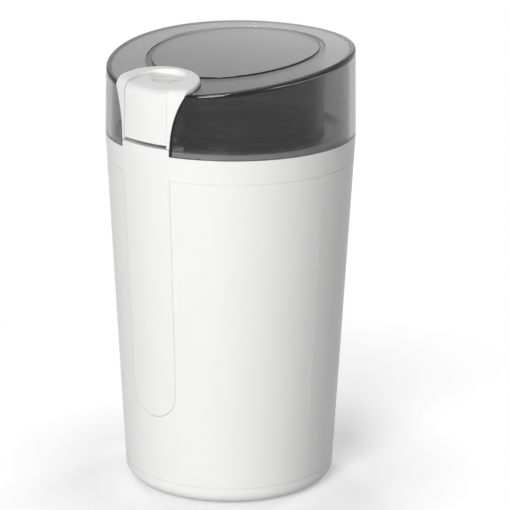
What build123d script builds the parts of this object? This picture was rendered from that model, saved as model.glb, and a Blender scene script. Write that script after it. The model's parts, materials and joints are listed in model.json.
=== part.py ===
from build123d import *
import math
import os

# Electric coffee grinder that runs while the button in its lid is held down.
# Millimetres. +Z is up and the button faces -Y. The origin lies on the resting plane, under the
# middle of the tapered body. Bowl and motor share an axis a little behind the body's own axis.

# Outer form
seam_height = 132.9          # lid meets body
seam_radius = 46.0
body_draft = 3.02            # degrees, the body narrows downwards
base_seam = 7.1
collar_height = 9.0
corner_radius = 4.5
shell_wall = 2.4
seam_line = 0.2              # width of the fine line between two outer pieces
seam_step = 0.25             # how far that line reaches into the wall
slip = 0.1                   # between pieces that slide together at assembly
running = 0.05               # radial clearance round turning and sliding pins
room = 0.3                   # between pieces that pass without touching

# Front strip, one moulding with the collar
strip_angle = 14.5           # degrees each side of the button's direction
strip_low_centre = 42.4
strip_wall = 1.2
strip_line = 0.15
pad_rise = 2.5
pad_inset = 9.5              # of the pad's rear face from the seam's circle, as all insets here

# Collar
deck_wall = 2.0
ledge_drop = 1.6
ledge_wall = 2.0
ledge_width = 2.2            # beyond the bowl's flange
spigot_wall = 1.2
spigot_length = 5.0
lip_wall = 1.0
lip_height = 1.6

# Lid
lid_rise = 32.3              # from the seam to the top at the back
lid_fall = 10.2              # from there to the front
lid_draft = 1.0
lid_wall = 2.2
lid_top_wall = 2.4
lid_edge_radius = 1.0
lid_turn = 120.0             # degrees, keeps the cone's own edge line clear of the cuts
skirt_wall = 2.0
skirt_plunge = 3.0
groove_width = 2.2
groove_depth = 0.5
groove_edge_radius = 0.7

# Button, its pocket and the frame round it
button_share = 0.226         # of the seam's radius, as all shares here
button_inset = 7.7
button_gap = 0.25
button_rise = 0.9
button_wall = 1.8
button_edge_share = 0.087
button_rim_radius = 0.4
button_travel = 1.2
press_gap = 1.5
dimple_width = 15.0
dimple_depth = 1.1
dimple_inset = 11.0
button_roof = 1.5            # over the stem and the spring's seat
button_rib_half = 0.6
button_rib_reach = 8.4
button_rib_depth = 3.5
mark_radius = 3.4
mark_width = 0.5
mark_depth = 0.3
pocket_wall = 1.2
pocket_floor_wall = 1.6
pocket_floor_rise = 2.6      # above the pad
stem_inset = 7.0
stem_radius = 2.0
clip_radius = 3.4
clip_wall = 0.6
clip_groove = 0.5
clip_mouth_half = 1.1
stem_play = 0.08
plunger_sink = 0.6           # below the pad's face, out of reach of a finger
frame_rise = 1.5
frame_sink = 1.2
frame_leg_share = 0.024
frame_width_share = 0.37
frame_depth_share = 0.274
frame_inset = 8.0
frame_edge_radius = 0.8
spring_radius = 3.6
spring_wire = 0.35
spring_turns = 6
spring_seat_drop = 4.0

# Grinding bowl
axis_offset = 2.4
bowl_inset = 12.9
bowl_depth = 34.4
bowl_wall = 0.6
bowl_corner = 5.0
flange_width = 4.0
skirt_gap = 0.3

# Threaded bush through the bowl's floor
bush_body = 5.0
bush_flange = 8.5
bush_flange_wall = 1.8
bush_edge = 0.6
bush_play = 0.4              # round the shaft, above its bearings
bowl_nut_height = 2.8
bowl_nut_across = 15.0
thread_past = 0.4            # thread that shows beyond the nut
seat_fit = 0.02              # radial, between pieces pressed or screwed together
seal_radius = 4.0
seal_depth = 3.3
seal_groove = (3.35, 3.75)
seal_groove_depth = 0.8

# Blade and shaft
shaft_radius = 3.0
blade_clearance = 5.1
blade_wall = 1.4
blade_width = 11.0
blade_hub_radius = 7.5
blade_twist = 14.0
blade_lift = 4.7             # above the bowl's floor
neck_radius = 2.5
nut_across = 8.0
nut_height = 4.0
nut_hex_share = 0.6          # of the height, the rest is a dome
nut_dome_radius = 3.36
nut_dome_edge = 1.4
nut_cap_wall = 0.8
washer_wall = 0.6
washer_radius = 5.0
blade_root = 4.0
blade_tip_half = 3.96
blade_bevel = 35.0           # degrees
blade_tilt = 6.0
blade_sweep = 8.0            # height either side that holds the bent wings
shaft_tail = 2.9             # below the lower bracket
shaft_edge = 0.4
drive_collar_radius = 5.4
drive_collar_gap = 0.6

# Motor frame
cup_wall = 1.6
cup_floor_wall = 2.5
frame_flange_wall = 2.0
boss_length = 6.5
boss_radius = 2.6
boss_inset = 7.1
boss_angles = (-30, 25, 155, 210)
post_length = 6.4
post_inset = 3.6             # from the bowl's wall
post_radius = 3.5
mount_height = 3.0
mount_radius = 4.5
mount_groove = 0.8
mount_hole_radius = 1.7
mount_pilot_radius = 1.25
mount_head_radius = 3.2
mount_head_height = 2.2
frame_notch_half = 9.5
frame_rib_start = 12.0
frame_rib_half = 0.8
frame_rib_depth = 3.0
frame_pilot_radius = 1.2
frame_screw_hole = 1.45
frame_head_radius = 2.3
frame_head_height = 1.8

# Motor
core_radius = 27.0
yoke_wall = 4.5
armature_radius = 14.2
air_gap = 0.5
pole_half_width = 8.0
coil_overhang = 5.0
coil_half_angle = 36.0         # degrees, clear of the bolt pillars
bracket_wall = 2.0
bracket_gap = 16.0           # from the core up to the upper bracket
tail_gap = 21.5              # from the core down to the lower bracket
tail_lift = 19.3             # of the lower bracket above the base's floor
arm_half = 3.0               # of the upper bracket's arms to the rubber mounts
bolt_radius = 1.6
bolt_angles = (45, 135, 225, 315)
bolt_head_radius = 3.0
bolt_head_height = 2.0
bolt_past = 3.2              # thread above the upper bracket
bolt_nut_across = 5.5
bolt_nut_height = 2.4
pillar_radius = 3.0
shoe_wall = 2.8
shoe_half_angle = 58.0       # degrees
window_circle = 18.5
window_radius = 3.4
window_count = 8
bush_seat = 0.2
bush_end_wall = 0.6
bush_mouth_radius = 4.2
retainer_outer = 8.4
retainer_inner = 5.2
retainer_wall = 0.5
bush_sphere = 6.5
bush_length = 7.6
housing_radius = 9.2
fan_radius = 20.0
fan_blades = 10
fan_gap = 1.5
fan_wall = 1.2
fan_hub_radius = 6.0
fan_hub_height = 7.5
fan_blade_half = 0.5
fan_blade_top = 7.0
commutator_radius = 9.0
commutator_length = 11.0
commutator_bars = 20
commutator_drop = 8.0        # below the core
bar_gap_half = 0.25
bar_gap_depth = 0.7
riser_height = 1.5
riser_reach = 1.4
armature_slots = 10
slot_circle = 10.2
slot_half = 0.9
slot_radius = 2.0
winding_radius = 12.8
winding_bore = 4.2
winding_height = 5.0
winding_gap = 0.2
winding_edge = 1.5
brush_width = 6.0
brush_height = 4.6
brush_end = 17.5
brush_spring_reach = (17.6, 24.4)
brush_spring_radius = 1.7
brush_spring_wire = 0.25
brush_spring_turns = 5
holder_wall = 1.0
holder_reach = (11.0, 25.5)
shelf_reach = (20.0, 25.5)
shelf_half = 3.5
fuse_radius = 1.6
fuse_length = 10.0
fuse_wire_radius = 0.4
fuse_wire_length = 18.0

# Switch under the pad
switch_length = 12.8
switch_width = 5.6
switch_height = 6.5
switch_inset = 7.9
plunger_radius = 2.25
plunger_flange = 2.7
plunger_flange_wall = 1.6
plunger_foot_radius = 1.6
tip_radius = 1.0
tip_length = 3.2
tip_show = 1.5               # above the switch
switch_rise = 2.6            # above the motor frame
switch_pin_x = 4.9
switch_pin_radius = 1.0
switch_pin_height = 1.7
terminal_x = 5.1
terminal_half = 0.3
terminal_width = 2.8
terminal_drop = 4.0
bracket_half = 8.6
bracket_plate_wall = 1.2
bracket_past = 1.5
bracket_inner = 7.4
bracket_arch = 3.6
ear_x = 12.0
ear_inset = 10.0
ear_wall = 1.4
ear_reach = 2.6
ear_pilot_radius = 0.9
ear_head_radius = 1.8
ear_head_height = 1.2
lead_radius = 0.8
lead_spread = 1.9
lead_bends = (6, 20, 40, 20, 6, 10)
lead_insets = (3.1, 5.6, 7.1)
lead_heights = (60.0, 34.0)
lead_turn_ys = (-27.0, -20.0)
lead_drops = (9.0, 26.0)     # of the first two bends below the terminals
lead_rise = 3.0              # of the last bend but one above the ends

# Base
base_floor = 2.6
foot_lift = 0.6
foot_radius = 5.0
foot_sink = 1.0
foot_inset = 18.0
foot_edge = 0.3
base_spigot_height = 4.0
base_spigot_wall = 1.4
base_screw_inset = 14.0
base_screw_angles = (30, 150, 270)
screw_boss_radius = 3.2
screw_boss_height = 2.4      # on the base cover
screw_well_radius = 3.0
screw_well_depth = 2.2
screw_hole_radius = 1.7
screw_pilot_radius = 1.3
screw_head_radius = 2.6
screw_head_height = 1.5
screw_rib_half = 1.0
tail_room = 4.5              # from the screw bosses up to the motor
vent_count = 12
vent_inner = 12.5
vent_outer = 20.5
vent_half_width = 1.2
inlet_height = 17.4
inlet_flange = 5.9
inlet_bore = 3.3
inlet_neck = 4.6
inlet_inner_flange = 1.6
inlet_outer_flange = 1.4
clamp_half = 9.5
clamp_inset = 14.5
clamp_half_depth = 2.2
clamp_height = 4.6
clamp_screw_x = 6.8
clamp_pilot_radius = 1.05
clamp_hole_radius = 1.3
clamp_well_radius = 2.6
clamp_well_height = 2.2
clamp_head_radius = 2.2
clamp_head_height = 1.6
clamp_screw_length = 11.9

# Circuit board
board_lift = 4.6
board_wall = 1.6
board_xs = (-20.0, 16.0)
board_ys = (-19.0, 3.0)
board_inset = 3.0
board_post_radius = 2.2
board_pilot_radius = 1.1
board_hole_radius = 1.2
board_head_radius = 2.1
board_head_height = 1.4
capacitor_xs = (-14.0, 1.0)
capacitor_ys = (-2.0, 2.5)
capacitor_height = 5.4
capacitor_edge = 0.6
choke_x = -6.5
choke_ys = (-6.5, -12.4)
choke_radius = 2.6
choke_length = 11.0
choke_core_radius = 1.6
choke_core_length = 13.5
block_xs = (1.5, 11.0)
block_ys = (-12.5, -3.5)
block_height = 5.2
terminal_xs = (4.0, 8.5)
terminal_y = -8.0
terminal_well_radius = 1.5
terminal_well_floor = 3.4
lead_hole_radius = 1.1
lead_height = 2.0            # of the leads' ends above the board

BOTTOM = (Align.CENTER, Align.CENTER, Align.MIN)
BEYOND = 70.0                # farther out than any piece
OVER = 1.0                   # a cutting piece reaches this far past what it cuts
MEET = 0.5                   # parts of one solid run this far into each other

# Places worked out from the sizes above
collar_seam = seam_height - collar_height
lid_back_height = seam_height + lid_rise
lid_front_height = lid_back_height - lid_fall
button_radius = seam_radius * button_share
button_edge_radius = seam_radius * button_edge_share
frame_leg = seam_radius * frame_leg_share
frame_half_width = seam_radius * frame_width_share
frame_half_depth = seam_radius * frame_depth_share
pad_back = seam_radius - pad_inset
button_distance = seam_radius - button_inset
dimple_distance = seam_radius - dimple_inset
stem_distance = seam_radius - stem_inset
frame_centre = seam_radius - frame_inset
switch_distance = seam_radius - switch_inset
ear_distance = seam_radius - ear_inset
foot_circle = seam_radius - foot_inset
base_screw_circle = seam_radius - base_screw_inset
clamp_y = seam_radius - clamp_inset
clamp_ys = (clamp_y - clamp_half_depth, clamp_y + clamp_half_depth)
boss_circle = seam_radius - boss_inset
bowl_radius = seam_radius - bowl_inset
blade_reach = bowl_radius - blade_clearance
post_circle = bowl_radius - post_inset
bowl_floor = seam_height - bowl_depth
cup_floor = bowl_floor - bowl_wall
cup_under = cup_floor - cup_floor_wall
bracket_top = cup_under - post_length - mount_height
bracket_under = bracket_top - bracket_wall
core_top = bracket_under - bracket_gap
floor_top = foot_lift + base_floor
tail_under = floor_top + tail_lift
tail_top = tail_under + bracket_wall
core_low = tail_top + tail_gap       # the core's length takes up a change of height
pad_top = seam_height + pad_rise
deck_under = seam_height - deck_wall
ledge_top = seam_height - ledge_drop
ledge_under = ledge_top - ledge_wall
frame_flange_top = ledge_under - boss_length
pocket_radius = button_radius + button_gap
pocket_low = pad_top + pocket_floor_rise
pocket_floor = pocket_low + pocket_floor_wall
button_low = pad_top + press_gap
flange_radius = bowl_radius + flange_width
skirt_radius = bowl_radius - skirt_gap
blade_low = bowl_floor + blade_lift
above_lid = lid_back_height + 5
bolt_circle = core_radius - yoke_wall / 2
bore_radius = armature_radius + air_gap
coil_inner = bore_radius + shoe_wall + room
coil_outer = core_radius - yoke_wall - room
upper_bush_middle = bracket_under + bush_length / 2 + bush_seat
lower_bush_middle = tail_top - bush_length / 2 - bush_seat
commutator_high = core_low - commutator_drop
brush_z = commutator_high - riser_height - commutator_length / 2
board_low = floor_top + board_lift
board_top = board_low + board_wall
switch_top = frame_flange_top + switch_rise
switch_low = switch_top - switch_height
switch_pin_z = switch_low + switch_pin_height
tip_top = switch_top + tip_show
plunger_top = pad_top - plunger_sink
clip_low = pocket_low - slip - clip_wall


def body_radius(z):
    return seam_radius - (seam_height - z) * math.tan(math.radians(body_draft))


def lid_radius(z):
    return seam_radius - (z - seam_height) * math.tan(math.radians(lid_draft))


lid_top_radius = lid_radius(lid_back_height)
lid_drop = lid_back_height - lid_front_height
arch_radius = ((2 * lid_top_radius) ** 2 + lid_drop ** 2) / (2 * lid_drop)


def arch_height(y, rise=0.0):
    """Height of the arched lid top at a place y, or of a surface that lies rise above it."""
    centre = lid_back_height - arch_radius
    return centre + math.sqrt((arch_radius + rise) ** 2 - (y - lid_top_radius) ** 2)


def disc(radius, low, high, x=0.0, y=0.0):
    return Pos(x, y, low) * Cylinder(radius, high - low, align=BOTTOM)


def tube(outer, inner, low, high, x=0.0, y=0.0):
    return disc(outer, low, high, x, y) - disc(inner, low - OVER, high + OVER, x, y)


def block(xs, ys, zs):
    corner = Pos(xs[0], ys[0], zs[0])
    return corner * Box(xs[1] - xs[0], ys[1] - ys[0], zs[1] - zs[0], align=(Align.MIN,) * 3)


def taper(radius_at, low, high, inset=0.0):
    """Solid cone that follows the body's or the lid's side, set in by inset."""
    bottom = radius_at(low) - inset
    top = radius_at(high) - inset
    return Pos(0, 0, low) * Cone(bottom, top, high - low, align=BOTTOM)


def under_arch(rise=0.0):
    """Everything under the lid's arched top, or under a surface that lies rise above it."""
    place = Pos(0, lid_top_radius, lid_back_height - arch_radius) * Rot(0, 90, 0)
    return place * Cylinder(arch_radius + rise, 2 * BEYOND)


def pocket_prism(radius, low, high):
    """Upright prism with the button's outline: round at the back, straight to the front."""
    front = block((-radius, radius), (-BEYOND, -button_distance), (low, high))
    return disc(radius, low, high, y=-button_distance) + front


def strip_half_width(z):
    return body_radius(z) * math.sin(math.radians(strip_angle))


def strip_prism(extra, low, high):
    """Front outline of the strip, run through the wall; low None keeps its round lower end."""
    start = strip_low_centre if low is None else low
    wide_low = strip_half_width(start) + extra
    wide_high = strip_half_width(high) + extra
    corners = [(-wide_low, start), (wide_low, start), (wide_high, high), (-wide_high, high)]
    face = make_face(Polyline(*corners, close=True))
    solid = extrude(Plane.XZ.offset(pad_back - 8) * face, BEYOND)
    if low is None:
        end = Pos(0, -(pad_back - 8), start) * Rot(90, 0, 0) * Cylinder(wide_low, BEYOND, align=BOTTOM)
        solid += end
    return solid


def polar(radius, angle, y=0.0):
    turn = math.radians(angle)
    return radius * math.cos(turn), y + radius * math.sin(turn)


def pan_screw(x, y, low, high, shank, head, head_height, head_down=True):
    """Upright pan-head screw with a cross slot, from low to high overall."""
    if head_down:
        head_low, head_high = low, low + head_height
        slot = (low - OVER, low + head_height * 0.5)
        shank_low, shank_high = head_high, high
    else:
        head_low, head_high = high - head_height, high
        slot = (high - head_height * 0.5, high + OVER)
        shank_low, shank_high = low, head_low
    screw = disc(head, head_low, head_high, x, y) + disc(shank, shank_low, shank_high, x, y)
    arm = head * 0.65
    thin = head * 0.15
    screw -= block((x - arm, x + arm), (y - thin, y + thin), slot)
    screw -= block((x - thin, x + thin), (y - arm, y + arm), slot)
    return screw


def group(solids):
    return Compound(children=[Compound(children=list(s.solids())) for s in solids])


def coil_spring(x, y, low, high, radius, wire, turns):
    """One unbroken wire in quarter-turn arcs that climb steadily, each tangent to the last."""
    steps = turns * 4
    points = []
    for i in range(steps + 1):
        turn = math.pi / 2 * i
        height = low + wire + (high - low - 2 * wire) * i / steps
        points.append(Vector(x + radius * math.cos(turn), y + radius * math.sin(turn), height))
    climb = (points[1].Z - points[0].Z) / (math.pi / 2)
    heading = Vector(0, radius, climb).normalized()
    first = heading
    arcs = []
    for start, end in zip(points, points[1:]):
        arc = TangentArc(start, end, tangent=heading)
        arcs.append(arc)
        heading = arc % 1
    path = Wire(arcs)
    section = Plane(origin=points[0], z_dir=first) * Circle(wire)
    gap = (high - low - 2 * wire) / turns - 2 * wire
    print("spring at", round(low, 1), "least gap", round(gap, 2), "mm")
    return sweep(section, path=path)


def make_body_shell():
    shell = taper(body_radius, base_seam, collar_seam)
    shell -= taper(body_radius, base_seam - OVER, collar_seam + OVER, shell_wall)
    recess = strip_prism(strip_line, None, collar_seam + OVER)
    recess -= taper(body_radius, base_seam - OVER, collar_seam + 2 * OVER, strip_wall + slip)
    shell -= recess
    boss_low = floor_top + screw_boss_height + slip
    boss_high = tail_under - tail_room
    rib_low = base_seam + base_spigot_height + room
    for angle in base_screw_angles:
        x, y = polar(base_screw_circle, angle)
        boss = disc(screw_boss_radius, boss_low, boss_high, x, y)
        rib = block((base_screw_circle, BEYOND), (-screw_rib_half, screw_rib_half), (rib_low, boss_high))
        inside = taper(body_radius, rib_low - OVER, boss_high + OVER, shell_wall / 2)
        boss += (Rot(0, 0, angle) * rib) & inside
        shell += boss
        shell -= disc(screw_pilot_radius, boss_low - OVER, boss_high - OVER, x, y)
    hole = Pos(0, 0, inlet_height) * Rot(-90, 0, 0) * Cylinder(inlet_neck, BEYOND, align=BOTTOM)
    return shell - hole


def make_base_cover():
    cover = taper(body_radius, foot_lift, base_seam)
    cover = fillet(cover.edges().group_by(Axis.Z)[0], corner_radius)
    cover -= taper(body_radius, floor_top, base_seam + OVER, shell_wall)
    line = disc(BEYOND, base_seam - seam_line, base_seam + OVER)
    line -= taper(body_radius, base_seam - 2, base_seam + 2, seam_step)
    cover -= line
    spigot_top = base_seam + base_spigot_height
    spigot = taper(body_radius, floor_top - MEET, spigot_top, shell_wall + slip)
    spigot -= taper(body_radius, floor_top - OVER, spigot_top + OVER, shell_wall + slip + base_spigot_wall)
    cover += spigot
    for angle in base_screw_angles:
        x, y = polar(base_screw_circle, angle)
        cover += disc(screw_boss_radius, floor_top - MEET, floor_top + screw_boss_height, x, y)
        cover -= disc(screw_well_radius, foot_lift - OVER, foot_lift + screw_well_depth, x, y)
        cover -= disc(screw_hole_radius, foot_lift, spigot_top + OVER, x, y)
    for angle in range(45, 360, 90):
        x, y = polar(foot_circle, angle)
        cover -= disc(foot_radius + slip, foot_lift - OVER, foot_lift + foot_sink, x, y)
    for i in range(vent_count):
        turn = 360 / vent_count * i
        low, high = foot_lift - OVER, floor_top + OVER
        slot = block((vent_inner, vent_outer), (-vent_half_width, vent_half_width), (low, high))
        for x in (vent_inner, vent_outer):
            slot += disc(vent_half_width, low, high, x)
        cover -= Rot(0, 0, turn) * slot
    for x, y in board_posts():
        cover += disc(board_post_radius, floor_top - MEET, board_low, x, y)
        cover -= disc(board_pilot_radius, board_low - 3 * OVER, board_low + OVER, x, y)
    saddle = block((-clamp_half, clamp_half), clamp_ys, (floor_top - MEET, inlet_height - room))
    saddle -= Pos(0, 0, inlet_height) * Rot(-90, 0, 0) * Cylinder(inlet_bore + room, 4 * BEYOND)
    for x in (-clamp_screw_x, clamp_screw_x):
        saddle -= disc(clamp_pilot_radius, inlet_height - clamp_screw_length, inlet_height, x, clamp_y)
    return cover + saddle


def make_feet():
    feet = []
    for angle in range(45, 360, 90):
        x, y = polar(foot_circle, angle)
        foot = disc(foot_radius, 0, foot_lift + foot_sink, x, y)
        feet.append(fillet(foot.edges().group_by(Axis.Z)[0], foot_edge))
    return group(feet)


def make_base_screws():
    low = foot_lift + screw_well_depth - screw_head_height
    high = tail_under - tail_room - 3 * OVER
    screws = []
    for angle in base_screw_angles:
        x, y = polar(base_screw_circle, angle)
        screws.append(pan_screw(x, y, low, high, screw_pilot_radius - running,
                                screw_head_radius, screw_head_height))
    return group(screws)


def make_collar():
    strip_low = strip_low_centre - 2 * strip_half_width(strip_low_centre)
    outline = disc(BEYOND, collar_seam, seam_height + OVER) + strip_prism(0, None, collar_seam + OVER)
    collar = taper(body_radius, strip_low, seam_height) & outline
    collar -= taper(body_radius, strip_low - OVER, collar_seam, strip_wall)
    line = disc(BEYOND, collar_seam - OVER, collar_seam + seam_line)
    line -= taper(body_radius, collar_seam - 2 * OVER, collar_seam + 2 * OVER, seam_step)
    collar -= line - strip_prism(0, collar_seam - 2 * OVER, collar_seam + 2 * OVER)
    inner = shell_wall + slip + spigot_wall
    collar -= taper(body_radius, collar_seam - OVER, deck_under, inner)
    spigot_low = collar_seam - spigot_length
    spigot = taper(body_radius, spigot_low, collar_seam + OVER, shell_wall + slip)
    collar += spigot - taper(body_radius, spigot_low - OVER, collar_seam + 2 * OVER, inner)
    ledge = disc(flange_radius + slip + ledge_width, ledge_under, seam_height, y=axis_offset)
    collar += ledge & taper(body_radius, ledge_under - OVER, seam_height, shell_wall)
    collar -= disc(bowl_radius + bowl_wall + room, ledge_under - OVER, seam_height + OVER, y=axis_offset)
    collar -= disc(flange_radius + slip, ledge_top, seam_height + OVER, y=axis_offset)
    lip_outer = lid_radius(seam_height) - lid_wall - room
    collar += tube(lip_outer, lip_outer - lip_wall, seam_height - MEET, seam_height + lip_height)
    pad = strip_prism(0, seam_height, pad_top) & taper(lid_radius, seam_height, pad_top)
    collar += pad & block((-BEYOND, BEYOND), (-BEYOND, -pad_back), (seam_height, pad_top))
    collar -= disc(plunger_flange + room, ledge_under - OVER, deck_under, y=-stem_distance)
    collar -= disc(plunger_radius + running, ledge_under - OVER, pad_top + OVER, y=-stem_distance)
    for angle in boss_angles:
        x, y = polar(boss_circle, angle)
        collar += disc(boss_radius, frame_flange_top, ledge_under + OVER, x, y)
        collar -= disc(frame_pilot_radius, frame_flange_top - OVER, ledge_under, x, y)
    return collar


def make_bowl_gasket():
    outer = flange_radius - slip
    inner = bowl_radius + bowl_wall + room
    return tube(outer, inner, ledge_top, seam_height - bowl_wall, y=axis_offset)


def make_bowl():
    outer = disc(bowl_radius + bowl_wall, cup_floor, seam_height, y=axis_offset)
    outer = fillet(outer.edges().group_by(Axis.Z)[0], bowl_corner + bowl_wall)
    inner = disc(bowl_radius, bowl_floor, seam_height + OVER, y=axis_offset)
    inner = fillet(inner.edges().group_by(Axis.Z)[0], bowl_corner)
    flange = disc(flange_radius, seam_height - bowl_wall, seam_height, y=axis_offset)
    bowl = outer + flange - inner
    return bowl - disc(bush_body + slip, cup_floor - OVER, bowl_floor + OVER, y=axis_offset)


def hexagon(across, bore, low, high, x=0.0, y=0.0):
    face = RegularPolygon(across / math.sqrt(3), 6)
    nut = Pos(x, y, low) * extrude(face, high - low)
    return nut - disc(bore, low - OVER, high + OVER, x, y)


def make_bowl_bush():
    bush = disc(bush_body, cup_under - bowl_nut_height - thread_past, bowl_floor + OVER, y=axis_offset)
    flange = disc(bush_flange, bowl_floor, bowl_floor + bush_flange_wall, y=axis_offset)
    bush += fillet(flange.edges().group_by(Axis.Z)[-1], bush_edge)
    top = bowl_floor + bush_flange_wall
    bush -= disc(seal_radius, top - seal_depth, top + OVER, y=axis_offset)
    return bush - disc(shaft_radius + bush_play, bracket_top, top + OVER, y=axis_offset)


def make_bowl_nut():
    low = cup_under - bowl_nut_height
    return hexagon(bowl_nut_across, bush_body + seat_fit, low, cup_under, y=axis_offset)


def make_shaft_seal():
    top = bowl_floor + bush_flange_wall
    seal = tube(seal_radius - seat_fit, shaft_radius + running, top - seal_depth, top, y=axis_offset)
    return seal - tube(seal_groove[1], seal_groove[0], top - seal_groove_depth, top + OVER, y=axis_offset)


def make_shaft():
    shaft = disc(shaft_radius, tail_under - shaft_tail, blade_low, y=axis_offset)
    neck_top = blade_low + blade_wall + washer_wall + nut_height - nut_cap_wall
    shaft += disc(neck_radius, blade_low - OVER, neck_top, y=axis_offset)
    edge = shaft.edges().group_by(Axis.Z)[0]
    return chamfer(edge, shaft_edge)


def make_drive_collar():
    low = bowl_floor + bush_flange_wall + drive_collar_gap
    collar = tube(drive_collar_radius, shaft_radius, low, blade_low, y=axis_offset)
    rim = collar.edges().group_by(Axis.Z)[0].sort_by(SortBy.LENGTH)[-1]
    return chamfer(rim, shaft_edge)


def blade_wing(side):
    root = blade_width / 2
    tip = blade_tip_half
    past = blade_reach + 3 * OVER
    corners = [(blade_root, -root), (blade_reach * 0.85, -root), (past, -tip * 0.2),
               (past, tip), (blade_root, root)]
    plate = extrude(make_face(Polyline(*corners, close=True)), blade_wall)
    plate = Pos(0, 0, -blade_wall / 2) * plate
    edge = Pos(0, -root, blade_wall / 2) * Rot(blade_bevel, 0, 0) * Box(BEYOND, 2 * blade_wall, blade_wall)
    plate -= edge
    lean = Rot(blade_twist * side, -blade_tilt * side, 0)
    return lean * plate


def make_blade():
    middle = blade_low + blade_wall / 2
    blade = disc(blade_hub_radius, blade_low, blade_low + blade_wall)
    for side in (1, -1):
        turn = 0 if side > 0 else 180
        blade += Pos(0, 0, middle) * Rot(0, 0, turn) * blade_wing(side)
    low, high = blade_low - blade_sweep, blade_low + blade_sweep
    blade &= disc(blade_reach, low, high)
    flat = blade_hub_radius - OVER
    blade -= disc(flat, blade_low + blade_wall, high) + disc(flat, low, blade_low)
    blade -= disc(neck_radius, low, high)
    return Pos(0, axis_offset, 0) * blade


def make_blade_washer():
    low = blade_low + blade_wall
    return tube(washer_radius, neck_radius, low, low + washer_wall, y=axis_offset)


def make_blade_nut():
    low = blade_low + blade_wall + washer_wall
    nut = hexagon(nut_across, neck_radius, low, low + nut_height * nut_hex_share, y=axis_offset)
    dome = disc(nut_dome_radius, low, low + nut_height, y=axis_offset)
    nut += fillet(dome.edges().group_by(Axis.Z)[-1], nut_dome_edge)
    return nut - disc(neck_radius, low - OVER, low + nut_height - nut_cap_wall, y=axis_offset)


def make_motor_frame():
    inner = bowl_radius + bowl_wall + room
    outer = inner + cup_wall
    frame = disc(outer, cup_under, frame_flange_top, y=axis_offset)
    flange_low = frame_flange_top - frame_flange_wall
    flange = disc(boss_circle + boss_radius, flange_low, frame_flange_top)
    notch = block((-frame_notch_half, frame_notch_half), (-BEYOND, 0), (0, above_lid))
    frame += flange - notch
    hollow = disc(inner, cup_floor, frame_flange_top + OVER, y=axis_offset)
    frame -= fillet(hollow.edges().group_by(Axis.Z)[0], bowl_corner + bowl_wall)
    for angle in range(0, 360, 90):
        x, y = polar(post_circle, angle, axis_offset)
        frame += disc(post_radius, bracket_top + mount_height, cup_under + MEET, x, y)
        frame -= disc(mount_pilot_radius, bracket_top, cup_under + OVER, x, y)
    for angle in range(45, 360, 90):
        turn = Pos(0, axis_offset, 0) * Rot(0, 0, angle)
        ys = (-frame_rib_half, frame_rib_half)
        zs = (cup_under - frame_rib_depth, cup_under + MEET)
        frame += turn * block((frame_rib_start, outer - OVER), ys, zs)
    frame -= disc(bush_body + slip, cup_under - OVER, cup_floor + OVER, y=axis_offset)
    for angle in boss_angles:
        x, y = polar(boss_circle, angle)
        frame -= disc(frame_screw_hole, flange_low - OVER, frame_flange_top + OVER, x, y)
    for x in (-ear_x, ear_x):
        frame -= disc(ear_pilot_radius, flange_low - OVER, frame_flange_top + OVER, x, -ear_distance)
    return frame


def make_frame_screws():
    screws = []
    for angle in boss_angles:
        x, y = polar(boss_circle, angle)
        low = frame_flange_top - frame_flange_wall - frame_head_height
        screws.append(pan_screw(x, y, low, ledge_under - MEET, frame_pilot_radius - running,
                                frame_head_radius, frame_head_height))
    return group(screws)


def make_rubber_mounts():
    mounts = []
    for angle in range(0, 360, 90):
        x, y = polar(post_circle, angle, axis_offset)
        mount = tube(mount_radius, mount_hole_radius, bracket_top, bracket_top + mount_height, x, y)
        third = mount_height / 3
        mount -= tube(mount_radius + OVER, mount_radius - mount_groove,
                      bracket_top + third, bracket_top + 2 * third, x, y)
        mounts.append(mount)
    return group(mounts)


def make_mount_screws():
    screws = []
    for angle in range(0, 360, 90):
        x, y = polar(post_circle, angle, axis_offset)
        screws.append(pan_screw(x, y, bracket_under - mount_head_height, cup_under - slip,
                                mount_pilot_radius - running, mount_head_radius, mount_head_height))
    return group(screws)


def window_places():
    step = 360 / window_count
    return [polar(window_circle, step * (i + 0.5), axis_offset) for i in range(window_count)]


def make_upper_bracket():
    bracket = disc(core_radius, bracket_under, bracket_top, y=axis_offset)
    for angle in range(0, 360, 90):
        x, y = polar(post_circle, angle, axis_offset)
        arm = block((housing_radius, post_circle), (-arm_half, arm_half), (bracket_under, bracket_top))
        bracket += Pos(0, axis_offset, 0) * Rot(0, 0, angle) * arm
        bracket += disc(mount_radius, bracket_under, bracket_top, x, y)
        bracket -= disc(mount_hole_radius, bracket_under - OVER, bracket_top + OVER, x, y)
    for x, y in window_places():
        bracket -= disc(window_radius, bracket_under - OVER, bracket_top + OVER, x, y)
    middle = upper_bush_middle
    housing_top = middle + bush_length / 2 + bush_seat
    bracket += disc(housing_radius, bracket_under, housing_top, y=axis_offset)
    cavity = Pos(0, axis_offset, middle) * Sphere(bush_sphere + running)
    cavity += disc(bush_sphere + running, bracket_under - OVER, middle, y=axis_offset)
    bracket = bracket - cavity - disc(bush_mouth_radius, middle, housing_top + OVER, y=axis_offset)
    for angle in bolt_angles:
        x, y = polar(bolt_circle, angle, axis_offset)
        bracket += disc(pillar_radius, core_top, bracket_top, x, y)
        bracket -= disc(bolt_radius + slip, core_top - OVER, bracket_top + OVER, x, y)
    return bracket


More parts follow.
